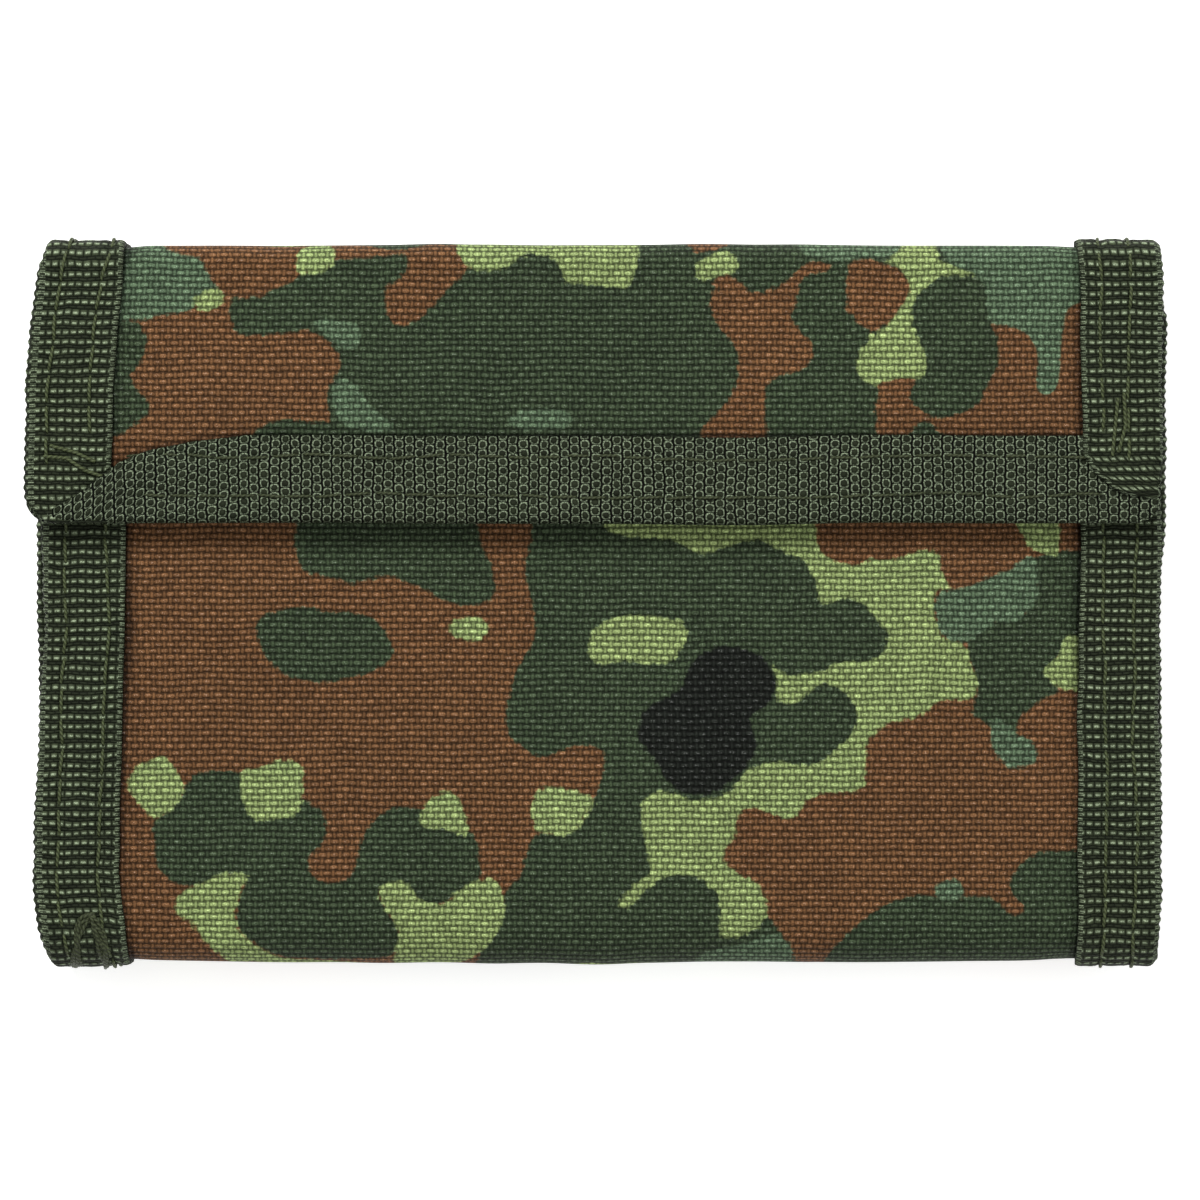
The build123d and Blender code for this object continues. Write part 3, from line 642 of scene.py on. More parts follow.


# ------------------------------------------------------------------ the print, drawn as outlines
# Outlines are in tenths of a drawing square: x to the right, y downwards, 0.1134 mm each.
PRINT = {
    "print_dark": {
        "front": [
            [(298, 505), (296, 540), (297, 555), (310, 568), (330, 578), (350, 582), (380, 576), (400, 577), (415, 585), (430, 592), (440, 600), (460, 602), (478, 602), (490, 595), (493, 580), (490, 565), (483, 550), (478, 535), (472, 505)],
            [(258, 625), (265, 618), (280, 612), (300, 608), (325, 612), (350, 613), (370, 620), (382, 630), (390, 645), (388, 658), (375, 668), (350, 678), (325, 682), (305, 678), (285, 672), (270, 660), (262, 645)],
            [(537, 505), (533, 535), (529, 555), (529, 595), (535, 615), (537, 635), (533, 652), (520, 665), (512, 685), (507, 705), (509, 728), (520, 745), (538, 755), (555, 752), (575, 744), (597, 742), (607, 750), (609, 765), (602, 780), (598, 800), (580, 828), (560, 838), (533, 838), (529, 860), (524, 880), (508, 893), (501, 912), (495, 930), (480, 950), (470, 985), (805, 985), (790, 945), (772, 925), (745, 900), (700, 870), (690, 820), (720, 800), (800, 785), (855, 760), (862, 720), (870, 665), (893, 650), (893, 630), (870, 595), (835, 590), (820, 575), (805, 550), (795, 505)],
            [(183, 795), (190, 778), (205, 772), (225, 775), (238, 772), (300, 800), (312, 805), (322, 815), (324, 830), (320, 845), (308, 855), (306, 865), (312, 878), (322, 886), (340, 886), (352, 878), (358, 860), (360, 845), (368, 833), (378, 822), (390, 812), (405, 806), (420, 808), (470, 830), (478, 845), (480, 865), (478, 882), (455, 890), (445, 903), (425, 905), (412, 895), (402, 884), (385, 886), (378, 895), (385, 910), (395, 925), (398, 940), (392, 955), (340, 960), (290, 958), (265, 950), (248, 940), (238, 925), (240, 900), (250, 880), (225, 873), (200, 880), (180, 885), (165, 875), (158, 860), (160, 845), (155, 830), (157, 820), (172, 812)],
            [(970, 655), (972, 640), (985, 628), (1000, 622), (1020, 620), (1035, 605), (1040, 590), (1035, 575), (1030, 562), (1040, 555), (1060, 552), (1100, 550), (1100, 635), (1070, 635), (1060, 650), (1050, 665), (1050, 680), (1060, 692), (1045, 697), (1030, 705), (1018, 715), (1012, 728), (1018, 740), (1010, 745), (1000, 730), (985, 722), (975, 715), (978, 700), (980, 685), (975, 670)],
            [(820, 985), (832, 950), (848, 938), (858, 925), (870, 915), (890, 905), (905, 900), (920, 897), (965, 897), (985, 898), (1000, 905), (1005, 915), (1015, 920), (1025, 915), (1027, 905), (1015, 895), (1012, 885), (1015, 870), (1025, 860), (1040, 855), (1060, 852), (1110, 850), (1110, 985)],
        ],
        "flap": [
            [(232, 303), (245, 298), (262, 298), (272, 290), (292, 285), (302, 276), (330, 268), (342, 260), (400, 258), (408, 262), (404, 276), (386, 286), (381, 300), (381, 314), (388, 326), (402, 332), (418, 324), (434, 312), (444, 300), (452, 288), (466, 276), (480, 262), (500, 225), (1002, 225), (1000, 330), (998, 380), (985, 410), (960, 440), (960, 470), (350, 470), (345, 440), (333, 424), (327, 410), (327, 395), (332, 382), (343, 372), (345, 360), (335, 345), (322, 333), (307, 328), (300, 332), (260, 333), (245, 333), (233, 323)],
            [(90, 322), (135, 322), (143, 330), (147, 345), (143, 360), (133, 370), (130, 382), (140, 395), (147, 405), (146, 415), (135, 424), (120, 432), (90, 436)],
            [(240, 450), (258, 432), (270, 425), (290, 420), (310, 424), (335, 424), (355, 430), (355, 450)],
        ],
    },
    "print_light": {
        "front": [
            [(600, 505), (605, 530), (625, 536), (660, 537), (680, 541), (695, 551), (712, 552), (722, 545), (740, 541), (760, 542), (775, 545), (790, 553), (805, 560), (812, 575), (818, 590), (819, 605), (830, 600), (845, 597), (860, 602), (872, 612), (882, 622), (890, 637), (887, 650), (875, 658), (855, 660), (838, 662), (828, 670), (812, 676), (795, 677), (780, 672), (768, 664), (776, 680), (774, 702), (800, 702), (808, 692), (820, 686), (835, 688), (848, 697), (856, 712), (857, 725), (850, 738), (840, 748), (825, 760), (810, 765), (780, 763), (760, 768), (745, 772), (738, 785), (725, 795), (700, 800), (680, 797), (665, 790), (650, 793), (643, 805), (642, 820), (643, 840), (648, 860), (650, 875), (640, 880), (625, 893), (615, 907), (622, 910), (634, 903), (646, 890), (660, 880), (680, 874), (700, 876), (712, 885), (722, 900), (722, 920), (720, 937), (735, 938), (750, 933), (765, 925), (770, 912), (765, 900), (760, 885), (745, 877), (730, 870), (722, 862), (725, 850), (735, 840), (738, 825), (740, 812), (750, 807), (765, 810), (780, 818), (795, 816), (803, 805), (812, 797), (830, 795), (850, 795), (866, 790), (868, 775), (865, 755), (872, 735), (885, 725), (905, 718), (925, 712), (940, 702), (955, 700), (978, 698), (980, 680), (972, 665), (970, 650), (960, 640), (945, 638), (942, 625), (935, 612), (932, 600), (935, 592), (950, 590), (945, 580), (940, 570), (940, 553), (925, 551), (910, 556), (890, 560), (870, 558), (860, 565), (845, 565), (830, 562), (822, 550), (815, 535), (812, 505)],
            [(588, 645), (592, 632), (600, 625), (612, 618), (630, 615), (650, 618), (672, 615), (683, 622), (687, 635), (682, 648), (672, 663), (655, 665), (635, 662), (615, 663), (600, 665), (590, 658)],
            [(444, 630), (452, 620), (465, 617), (480, 620), (487, 630), (482, 638), (470, 642), (455, 640)],
            [(532, 800), (540, 790), (555, 786), (575, 790), (590, 797), (600, 804), (588, 815), (578, 828), (565, 838), (548, 838), (534, 830)],
            [(418, 815), (428, 803), (440, 795), (450, 792), (462, 800), (468, 815), (470, 832), (458, 836), (445, 830), (430, 833), (420, 828)],
            [(126, 780), (135, 765), (148, 757), (163, 757), (172, 768), (180, 780), (183, 795), (175, 808), (165, 818), (153, 820), (143, 810), (132, 797)],
            [(236, 775), (245, 767), (265, 765), (278, 758), (292, 760), (303, 770), (305, 785), (302, 800), (296, 815), (280, 820), (262, 822), (248, 815), (242, 800)],
            [(175, 905), (178, 893), (190, 885), (205, 878), (225, 873), (245, 874), (250, 880), (240, 890), (238, 905), (235, 920), (240, 935), (250, 945), (265, 953), (290, 960), (400, 963), (400, 985), (240, 985), (215, 950), (200, 930), (182, 917)],
            [(378, 893), (388, 885), (402, 882), (412, 890), (418, 900), (435, 905), (448, 903), (455, 890), (465, 882), (480, 880), (497, 882), (503, 895), (504, 910), (500, 930), (490, 945), (475, 953), (450, 965), (395, 968), (392, 955), (398, 940), (395, 925), (385, 910)],
            [(1072, 632), (1085, 640), (1085, 690), (1068, 692), (1060, 688), (1048, 680), (1046, 670), (1052, 660), (1060, 650), (1065, 638)],
            [(1018, 505), (1018, 530), (1028, 545), (1040, 553), (1055, 556), (1060, 550), (1058, 505)],
        ],
        "flap": [
            [(452, 225), (458, 250), (465, 260), (472, 270), (485, 274), (500, 273), (512, 270), (520, 262), (532, 257), (548, 257), (558, 262), (562, 274), (566, 284), (590, 286), (618, 292), (630, 289), (635, 275), (638, 258), (636, 225)],
            [(697, 262), (705, 255), (722, 254), (735, 259), (738, 268), (732, 276), (722, 279), (708, 282), (698, 277), (695, 268)],
            [(300, 272), (298, 262), (303, 250), (315, 245), (332, 246), (338, 255), (335, 265), (325, 272), (312, 274)],
            [(880, 262), (892, 256), (902, 247), (903, 225), (935, 225), (937, 255), (945, 265), (960, 268), (975, 272), (972, 276), (955, 277), (938, 281), (925, 290), (916, 300), (912, 312), (910, 325), (915, 335), (920, 350), (926, 362), (925, 372), (922, 379), (905, 382), (885, 385), (875, 388), (866, 388), (858, 383), (853, 372), (855, 360), (862, 345), (872, 333), (888, 322), (900, 310), (908, 298), (910, 285), (904, 272), (896, 265)],
        ],
    },
    "print_blue": {
        "front": [
            [(935, 595), (950, 590), (965, 585), (985, 578), (1005, 572), (1020, 560), (1030, 553), (1037, 565), (1042, 590), (1036, 607), (1020, 621), (1000, 623), (985, 630), (975, 641), (962, 643), (945, 637), (940, 620), (932, 607)],
            [(992, 720), (1000, 722), (1012, 728), (1015, 738), (1030, 740), (1038, 748), (1037, 760), (1025, 768), (1010, 770), (1003, 762), (995, 755), (990, 740)],
            [(935, 890), (942, 880), (955, 878), (963, 885), (965, 897), (950, 900), (937, 900)],
            [(700, 955), (740, 945), (770, 935), (785, 935), (795, 950), (798, 985), (690, 985)],
        ],
        "flap": [
            [(90, 225), (150, 225), (165, 250), (185, 257), (200, 260), (210, 272), (218, 285), (222, 295), (200, 305), (190, 312), (170, 315), (150, 318), (135, 322), (120, 322), (90, 322)],
            [(315, 322), (330, 318), (345, 322), (358, 330), (362, 345), (352, 352), (342, 348), (335, 342), (322, 332)],
            [(335, 380), (350, 378), (362, 385), (365, 400), (380, 415), (400, 425), (390, 434), (365, 430), (345, 425), (333, 415), (328, 400)],
            [(505, 417), (530, 408), (560, 405), (575, 415), (565, 428), (540, 432), (510, 428)],
            [(798, 225), (905, 225), (900, 250), (885, 258), (860, 261), (835, 261), (815, 258), (800, 253)],
            [(935, 225), (1100, 225), (1100, 300), (1070, 306), (1062, 315), (1060, 345), (1060, 380), (1055, 392), (1047, 397), (1038, 393), (1034, 380), (1035, 355), (1030, 340), (1015, 333), (995, 328), (985, 322), (983, 305), (985, 290), (980, 280), (975, 272), (955, 266), (942, 258)],
        ],
    },
    "print_light_top": {
        "front": [],
        "flap": [[(190, 302), (200, 294), (210, 290), (222, 290), (227, 298), (222, 308), (208, 315), (195, 312)]],
    },
    "print_brown": {
        "front": [],
        "flap": [
            [(725, 277), (738, 282), (742, 290), (755, 292), (770, 290), (785, 283), (800, 272), (805, 265), (822, 262), (835, 264), (830, 270), (818, 275), (805, 280), (797, 290), (797, 300), (793, 308), (792, 320), (800, 330), (812, 345), (810, 360), (800, 370), (785, 377), (770, 382), (765, 395), (762, 410), (765, 420), (768, 445), (700, 445), (705, 430), (712, 415), (728, 400), (733, 390), (737, 375), (735, 350), (725, 335), (715, 322), (710, 310), (712, 298), (718, 290), (712, 285), (715, 278)],
            [(850, 266), (858, 262), (880, 262), (898, 266), (905, 272), (912, 285), (910, 298), (900, 310), (888, 322), (875, 330), (868, 333), (858, 328), (850, 318), (845, 305), (848, 285)],
            [(875, 386), (895, 381), (914, 380), (908, 392), (907, 402), (915, 412), (930, 418), (945, 420), (955, 416), (968, 410), (980, 400), (985, 390), (993, 378), (998, 362), (997, 345), (990, 332), (985, 326), (1000, 328), (1012, 332), (1025, 335), (1033, 345), (1035, 360), (1033, 375), (1033, 390), (1040, 397), (1048, 397), (1057, 390), (1060, 380), (1060, 350), (1062, 330), (1063, 312), (1072, 306), (1100, 300), (1100, 450), (960, 450), (940, 430), (925, 422), (912, 428), (905, 450), (880, 450), (877, 425), (875, 410), (878, 395)],
            [(683, 225), (686, 252), (700, 253), (728, 251), (730, 225)],
        ],
    },
    "print_black": {
        "front": [[(640, 745), (638, 730), (645, 712), (660, 702), (675, 695), (685, 685), (690, 668), (700, 655), (715, 648), (735, 648), (755, 652), (768, 662), (775, 675), (776, 692), (768, 703), (755, 710), (748, 718), (755, 735), (755, 750), (748, 765), (738, 778), (722, 790), (700, 797), (682, 792), (668, 780), (655, 765)]],
        "flap": [],
    },
}
_low = int(np.argmin(PATH[:, 0]))
_top = int(np.argmax(PATH[:, 0] - 100.0 * (PATH[:, 1] < 13.0)))


def s_front(y):
    y = np.asarray(y, float)
    s = np.interp(-y, -PATH[: _low + 1, 0], SEG[: _low + 1])
    return np.where(y < -40.8, SEG[_low] + (-40.8 - y) * 1.5, np.where(y > 36.6, 36.6 - y, s))


def s_flap(y):
    y = np.asarray(y, float)
    s = np.interp(-y, -PATH[_top:, 0], SEG[_top:])
    return np.where(y > 40.4, SEG[_top] - (y - 40.4) * 1.5, s)


def rounded(points):
    """Closed outline with its corners cut twice."""
    p = np.asarray(points, float)
    for _ in range(2):
        q = np.roll(p, -1, axis=0)
        p = np.stack([p * 0.75 + q * 0.25, p * 0.25 + q * 0.75], 1).reshape(-1, 2)
    return p


def inside_distance(px, py, poly):
    """Signed distance to a closed outline, positive inside."""
    best = np.full(px.shape, 1e9)
    inside = np.zeros(px.shape, bool)
    for (x0, y0), (x1, y1) in zip(poly, np.roll(poly, -1, axis=0)):
        ex, ey = x1 - x0, y1 - y0
        t = np.clip(((px - x0) * ex + (py - y0) * ey) / (ex * ex + ey * ey + 1e-12), 0, 1)
        best = np.minimum(best, (px - x0 - t * ex) ** 2 + (py - y0 - t * ey) ** 2)
        if y0 != y1:
            cross = ((y0 > py) != (y1 > py)) & (px < (x1 - x0) * (py - y0) / (y1 - y0) + x0)
            inside ^= cross
    d = np.sqrt(best)
    return np.where(inside, d, -d)


def print_layout():
    """Outlines on the strip per layer, and random patches for the parts that nobody sees from the front."""
    outlines = {k: [] for k in PRINT}
    for k, regions in PRINT.items():
        for name, to_s in (("front", s_front), ("flap", s_flap)):
            for pts in regions[name]:
                p = np.asarray(pts, float)
                x, y = (p[:, 0] - 596.0) * 0.1134, (602.5 - p[:, 1]) * 0.1134
                outlines[k].append(rounded(np.stack([x, to_s(y)], -1)))
    patches = {k: [] for k in PRINT}
    rng = np.random.default_rng(23)

    def cluster(layer, count, spread, r0, r1, lo=S_BOTTOM + 1.5, hi=S_TOP + 1.5):
        for _ in range(count):
            x, s = rng.uniform(-64, 64), rng.uniform(lo, hi)
            for _ in range(rng.integers(2, 6)):
                patches[layer].append((x + rng.normal(0, spread), float(np.clip(s + rng.normal(0, spread), lo, hi)), rng.uniform(r0, r1), rng.uniform(r0, r1) * 0.8, rng.uniform(-40, 40)))

    cluster("print_dark", 30, 6.0, 3.5, 7.0)
    cluster("print_light", 20, 4.0, 2.5, 5.0)
    cluster("print_blue", 11, 4.0, 2.5, 5.0)
    cluster("print_light_top", 14, 1.6, 1.4, 2.6)
    cluster("print_brown", 8, 3.0, 2.0, 4.0)
    cluster("print_black", 4, 3.0, 2.5, 4.6)
    cluster("print_dark", 5, 5.0, 3.0, 4.5, 0.0, 21.0)
    cluster("print_light", 3, 4.0, 2.5, 4.0, 0.0, 20.0)
    return outlines, patches


def print_fields(x, s):
    dx = 0.35 * noise(x / 3.0, s / 3.0, 2)
    ds = 0.35 * noise(x / 3.0, s / 3.0, 4)
    far_x, far_s = 1.0 * noise(x / 6.5, s / 6.5, 1), 1.0 * noise(x / 6.5, s / 6.5, 3)
    X, S = x + dx, s + ds
    outlines, patches = LAYOUT
    res = {}
    for k in PRINT:
        acc = np.zeros_like(X)
        for bx, bs, rx, rs, a in patches[k]:
            XX, SS = X + far_x, S + far_s
            near = (abs(XX - bx) < 3 * max(rx, rs)) & (abs(SS - bs) < 3 * max(rx, rs))
            if not near.any():
                continue
            c, sn = math.cos(math.radians(a)), math.sin(math.radians(a))
            u, v = (XX[near] - bx) * c + (SS[near] - bs) * sn, -(XX[near] - bx) * sn + (SS[near] - bs) * c
            q = np.sqrt((u / rx) ** 2 + (v / rs) ** 2)
            acc[near] += np.exp(np.clip((1 - q) * min(rx, rs) * 2.2, -30, 30))
        field = np.clip(np.log(acc + 1e-9) / 2.2, -3, 3)
        for poly in outlines[k]:
            lo, hi = poly.min(0) - 3.0, poly.max(0) + 3.0
            near = (X > lo[0]) & (X < hi[0]) & (S > lo[1]) & (S < hi[1])
            if near.any():
                field[near] = np.maximum(field[near], np.clip(inside_distance(X[near], S[near], poly), -3, 3))
        res[k] = field + (0.22 if k == "print_dark" else 0.0)
    return res


LAYOUT = print_layout()


# ------------------------------------------------------------------ outer cloth
def cloth_height(x, s, half):
    """Soft unevenness of the outer cloth between the bindings, fading to nothing under them."""
    inner = smooth((half - 9.0 - abs(x)) / 5.0)
    y, z = at(s, 0.0)
    fold = smooth(1 - abs(s - S_BOTTOM) / 9.0) * 0.55 + smooth(1 - abs(s - S_TOP) / 9.0) * 0.35
    h = 0.20 * noise(x / 17.0, s / 13.0, 5) + 0.09 * noise(x / 6.0, s / 6.0, 6)
    h = h + fold * (1 - (abs(x) / 60.0) ** 3)
    pucker = 0.10 * noise(s / 3.4, x * 0 + np.sign(x), 8) * smooth(1 - abs(half - 11.0 - abs(x)) / 3.0)
    return h * inner + pucker - 0.10 * (1 - inner)


def outer_sheet(region, nodes):
    s0, s1 = REGIONS[region][:2]
    n = int((s1 - s0) / 0.42) + 2
    s = np.linspace(s0, s1, n)
    half_l, half_r = edge_x(s, -1) - 0.9, edge_x(s, 1) - 0.9
    cols = 300
    f = np.linspace(0, 1, cols)
    x = -half_l[:, None] * (1 - f)[None, :] + half_r[:, None] * f[None, :]
    S = np.broadcast_to(s[:, None], x.shape)
    d = cloth_height(x, S, 64.0)
    if region == "flap":
        low = smooth((S - (S_END - 11.0)) / 3.0)
        d = d * (1 - low) - 0.1 * low
    y, z = at(S, d - 0.02)
    pts = np.stack([x, y, z], -1)
    attrs = print_fields(x, np.array(S))
    # painted shade: a falloff beside the bindings' inner edges, and on the flap beside its edge binding, which darkens
    # the cloth's colour
    inner_edge = np.where(x < 0, edge_x(S, -1) - leg_of(-1), edge_x(S, 1) - leg_of(1))
    painted_edge_shade = np.exp(-np.clip(inner_edge - abs(x), 0, 9) / 0.45)
    if region == "flap":
        painted_edge_shade = np.maximum(painted_edge_shade, np.exp(-np.clip(S_END + 0.9 - edge_leg(x + 64.5) - S, 0, 9) / 0.4))
    attrs["painted_edge_shade"] = painted_edge_shade
    o = grid_mesh("cloth_" + region, pts, np.stack([x, S], -1), attrs=attrs, material=M_CLOTH)
    # the side facing the wallet's inside has the plain coated reverse of the cloth
    if region_sign(o):
        o.data.materials.append(M_COAT)
    else:
        o.data.materials[0] = M_COAT
        o.data.materials.append(M_CLOTH)
    sol = o.modifiers.new("thickness", "SOLIDIFY")
    sol.thickness = 0.5 * MM
    sol.offset = -1.0 if region_sign(o) else 1.0
    sol.material_offset = 1
    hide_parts(*nodes)
    return bind(o, region)


def region_sign(o):
    """True if the mesh's faces point away from the wallet's middle."""
    p = o.data.polygons[len(o.data.polygons) // 2]
    c = np.array(p.center) / MM
    return float(np.dot(np.array(p.normal)[1:], [c[1] * 0.2, c[2] - 7.0])) > 0


def lining_sheet(region, nodes):
    s0, s1 = REGIONS[region][:2]
    if region == "front":
        s0 = 1.2
    if region == "flap":
        s1 = S_END - 0.2
    if region == "back_high":
        s0 = s_near(32.5, 0.8)
    s = np.linspace(s0, s1, int((s1 - s0) / 1.0) + 2)
    flat = np.full_like(s, 1.15)
    if region == "back_high":
        flat = 0.72 + 0.43 * smooth((s - s_near(36.6, 0.8)) / 5.0)
    flat = np.where(s > S_FLAP_TOP, 0.62 + 0.53 * smooth((S_FLAP_TOP + 5 - s) / 5), flat)
    flat = np.where(s < S_FRONT_LOW, 1.15 + 0.0 * s, flat)
    x = np.linspace(-61.0, 61.0, 90)
    X, S = np.meshgrid(x, s)
    d = -flat[:, None] - 0.12 * (noise(X / 14.0, S / 12.0, 31) + 0.5 * noise(X / 5.0, S / 5.0, 32))
    y, z = at(S, d)
    o = grid_mesh("lining_" + region, np.stack([X, y, z], -1), np.stack([X, S], -1), material=M_LINING)
    sol = o.modifiers.new("thickness", "SOLIDIFY")
    sol.thickness = 0.25 * MM
    sol.offset = -1.0 if region_sign(o) else 1.0
    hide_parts(*nodes)
    return bind(o, region)


def mouth_y(x):
    """Upper edge of the back lining: the mouth of the banknote compartment, scooped out for a thumb."""
    return 36.4 - 8.6 * smooth((11.5 - abs(x)) / 8.0)


def back_lining_mouth():
    xs, q = np.linspace(-61.0, 61.0, 200), np.linspace(0, 1, 44)
    X = np.broadcast_to(xs[None, :], (44, 200))
    Y = mouth_y(X) * q[:, None]
    S = S_BACK_MID + Y
    d = -1.15 - 0.45 * smooth((Y - (mouth_y(X) - 3.5)) / 3.5) - 0.08 * noise(X / 12.0, Y / 9.0, 37)
    y, z = at(S, d)
    o = grid_mesh("lining_back_mouth", np.stack([X, y, z], -1), np.stack([X, S], -1), material=M_LINING)
    sol = o.modifiers.new("thickness", "SOLIDIFY")
    sol.thickness = 0.28 * MM
    sol.offset = -1.0 if region_sign(o) else 1.0
    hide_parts("back_lining")
    bind(o, "back_high")
    x = np.linspace(-54.5, 54.5, 400)
    y, z = at(S_BACK_MID + mouth_y(x), -1.15 - 0.42 - 0.30 + 0.02 * np.sin(x))
    roll = join_verts("lining_back_mouth_edge", [tube(np.stack([x, y, z], -1), 0.34, 8)], M_LINING)
    bind(roll, "back_high")
    x = np.linspace(-54.0, 54.0, 500)
    y, z = at(S_BACK_MID + mouth_y(x) - 1.6, -1.15 - 0.30 - 0.30)
    p = np.stack([x, y, z], -1)
    seg = np.r_[0, np.cumsum(np.linalg.norm(np.diff(p, axis=0), axis=1))]

    def line(t):
        return np.stack([np.interp(t, seg, p[:, i]) for i in range(3)], -1), np.stack([0 * t, 0 * t, 0 * t + 1], -1)

    st = join_verts("stitches_back_mouth", stitch_row(line, seg[-1], 2.9, 0.10, 450, radius=0.14), M_THREAD_IN)
    bind(st, "back_high")


CLOTH_NODES = {"front": ["front_shell"], "back_low": ["back_shell", "bottom_spine_shell"], "back_high": ["back_shell", "top_spine_shell"], "flap": ["flap_shell", "top_spine_shell"]}
LINING_NODES = {"front": ["front_lining", "bottom_spine_lining"], "back_low": ["back_lining", "bottom_spine_lining"], "back_high": ["top_spine_lining"], "flap": ["flap_lining", "top_spine_lining"]}
for region in REGIONS:
    outer_sheet(region, CLOTH_NODES[region])
    lining_sheet(region, LINING_NODES[region])


# ------------------------------------------------------------------ binding tape
T = 0.75


def section(x_out, leg, deep, t=T, n_leg=26, n_web=8, shorter=0.0):
    """Closed C section, as (distance in from the outer edge, height above the cloth), and its length along the outside."""
    r = min(0.9, (t + deep) / 2 * 0.9)
    out = []
    for q in np.linspace(0, 1, n_leg):
        out.append((leg - (leg - r) * q, t - 0.22 * (1 - min(1, (q * (leg - r)) / 0.7)) ** 2))
    for a in np.linspace(90, 0, 5)[1:]:
        out.append((r - r * math.cos(math.radians(a)), t - r + r * math.sin(math.radians(a))))
    for q in np.linspace(0, 1, n_web)[1:-1]:
        out.append((0.0, (t - r) + (-deep + r - (t - r)) * q))
    for a in np.linspace(0, -90, 5):
        out.append((r - r * math.cos(math.radians(a)), -deep + r + r * math.sin(math.radians(a))))
    for q in np.linspace(0, 1, n_leg)[1:]:
        out.append((r + (leg - shorter - r) * q, -deep + 0.22 * max(0, 1 - ((1 - q) * (leg - r)) / 0.7) ** 2))
    n_outside = len(out)
    out.append((leg - shorter, -deep + t * 0.8))
    out.append((min(t, leg * 0.6), -deep + t * 0.9))
    out.append((min(t, leg * 0.6), -0.03))
    out.append((leg, -0.03))
    return np.array(out), n_outside


def stitch_out(region, side):
    """Distances of the two rows of stitches from the binding's outer edge."""
    if side < 0:
        return 2.7, 7.4
    return (3.8, 6.8) if region in ("flap", "back_high") else (2.9, 6.4)


def side_tape(region, side, nodes):
    s0, s1 = REGIONS[region][:2]
    if region == "front":
        s0 = -0.2
    mitre = region == "flap"
    if mitre:
        s1 = S_END + (0.85 if side < 0 else -1.7)
    n = int((s1 - s0) / 0.22) + 2
    s = np.linspace(s0, s1, n)
    ex, dp = edge_x(s, side), depth(s)
    y_line = np.interp(s, SEG, PATH[:, 0])
    y_line = np.where(s > S_END, PATH[-1, 0] - (s - S_END), y_line)
    rings, uvs = [], []
    for i, si in enumerate(s):
        xo = ex[i]
        leg = leg_of(side) + 0.2 * math.sin(si / 9.0 + side) - 0.8 * max(0.0, 63.4 - xo)
        raised = 0.0
        if mitre:
            up = max(0.0, y_line[i] - FLAP_LOW)
            if side > 0:
                leg = min(leg, float(np.interp(up, [2.6, 2.9, 3.6, 5.6, 8.6, 11], [0.3, 1.5, 5.0, 7.6, 9.6, 9.95])))
                raised = 0.42 * math.exp(-(((up - 4.2) / 3.0) ** 2)) + 0.10
            else:
                raised = -0.22 * float(smooth((7.0 - up) / 4.0))
                if up < 3.4:
                    inset = 3.4 - math.sqrt(max(0.0, 3.4**2 - (3.4 - up) ** 2))
                    xo, leg = xo - inset, max(0.2, leg - inset)
        sec, n_out = section(xo, leg, dp[i], shorter=1.0 if region.startswith("back") else 0.0)
        across = np.r_[0, np.cumsum(np.linalg.norm(np.diff(sec, axis=0), axis=1))]
        k = np.arange(len(sec))
        rib = 0.055 * math.cos(2 * math.pi * si / 1.10) * np.cos(math.pi * across / 2.1)
        rib = np.where(k < n_out, rib, 0)
        groove = sum(-0.16 * np.exp(-((sec[:, 0] - g) / 0.45) ** 2) for g in stitch_out(region, side))
        puff = 0.10 * noise(np.full(len(sec), si / 7.0), sec[:, 0] / 4.0, 40 + side)
        lift = np.where(k < n_out, rib + groove + puff + raised * smooth(sec[:, 0] / 5.0), 0)
        top = sec[:, 1] > T - 0.5
        bottom = sec[:, 1] < -dp[i] + 0.5
        dd = sec[:, 1] + np.where(top, lift, 0) - np.where(bottom & (k < n_out), rib, 0)
        web = (~top) & (~bottom) & (k < n_out)
        dx = np.where(web, 0.10 * math.cos(2 * math.pi * si / 1.10) + 0.12 * noise(np.full(len(sec), si / 3.0), sec[:, 1] / 2.0, 50 + side), 0)
        x = side * (xo - sec[:, 0] + dx)
        y, z = at(np.full(len(sec), si), dd)
        if si > S_END:
            y = y - (si - S_END)
        rings.append(np.stack([x, y, z], -1))
        uvs.append(np.stack([np.r_[across, across[-1] + leg], np.full(len(sec) + 1, si)], -1))
    o = grid_mesh("binding_%s_%s" % (region, "left" if side < 0 else "right"), np.array(rings), np.array(uvs), closed_u=True, caps=True, material=M_TAPE)
    outward(o)
    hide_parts(*nodes)
    return bind(o, region)


for side, word in ((-1, "left"), (1, "right")):
    side_tape("front", side, ["front_tape_" + word, "bottom_spine_tape_" + word])
    side_tape("back_low", side, ["back_tape_" + word, "bottom_spine_tape_" + word])
    side_tape("back_high", side, ["back_tape_" + word, "top_spine_tape_" + word])
    side_tape("flap", side, ["flap_tape_" + word, "top_spine_tape_" + word])


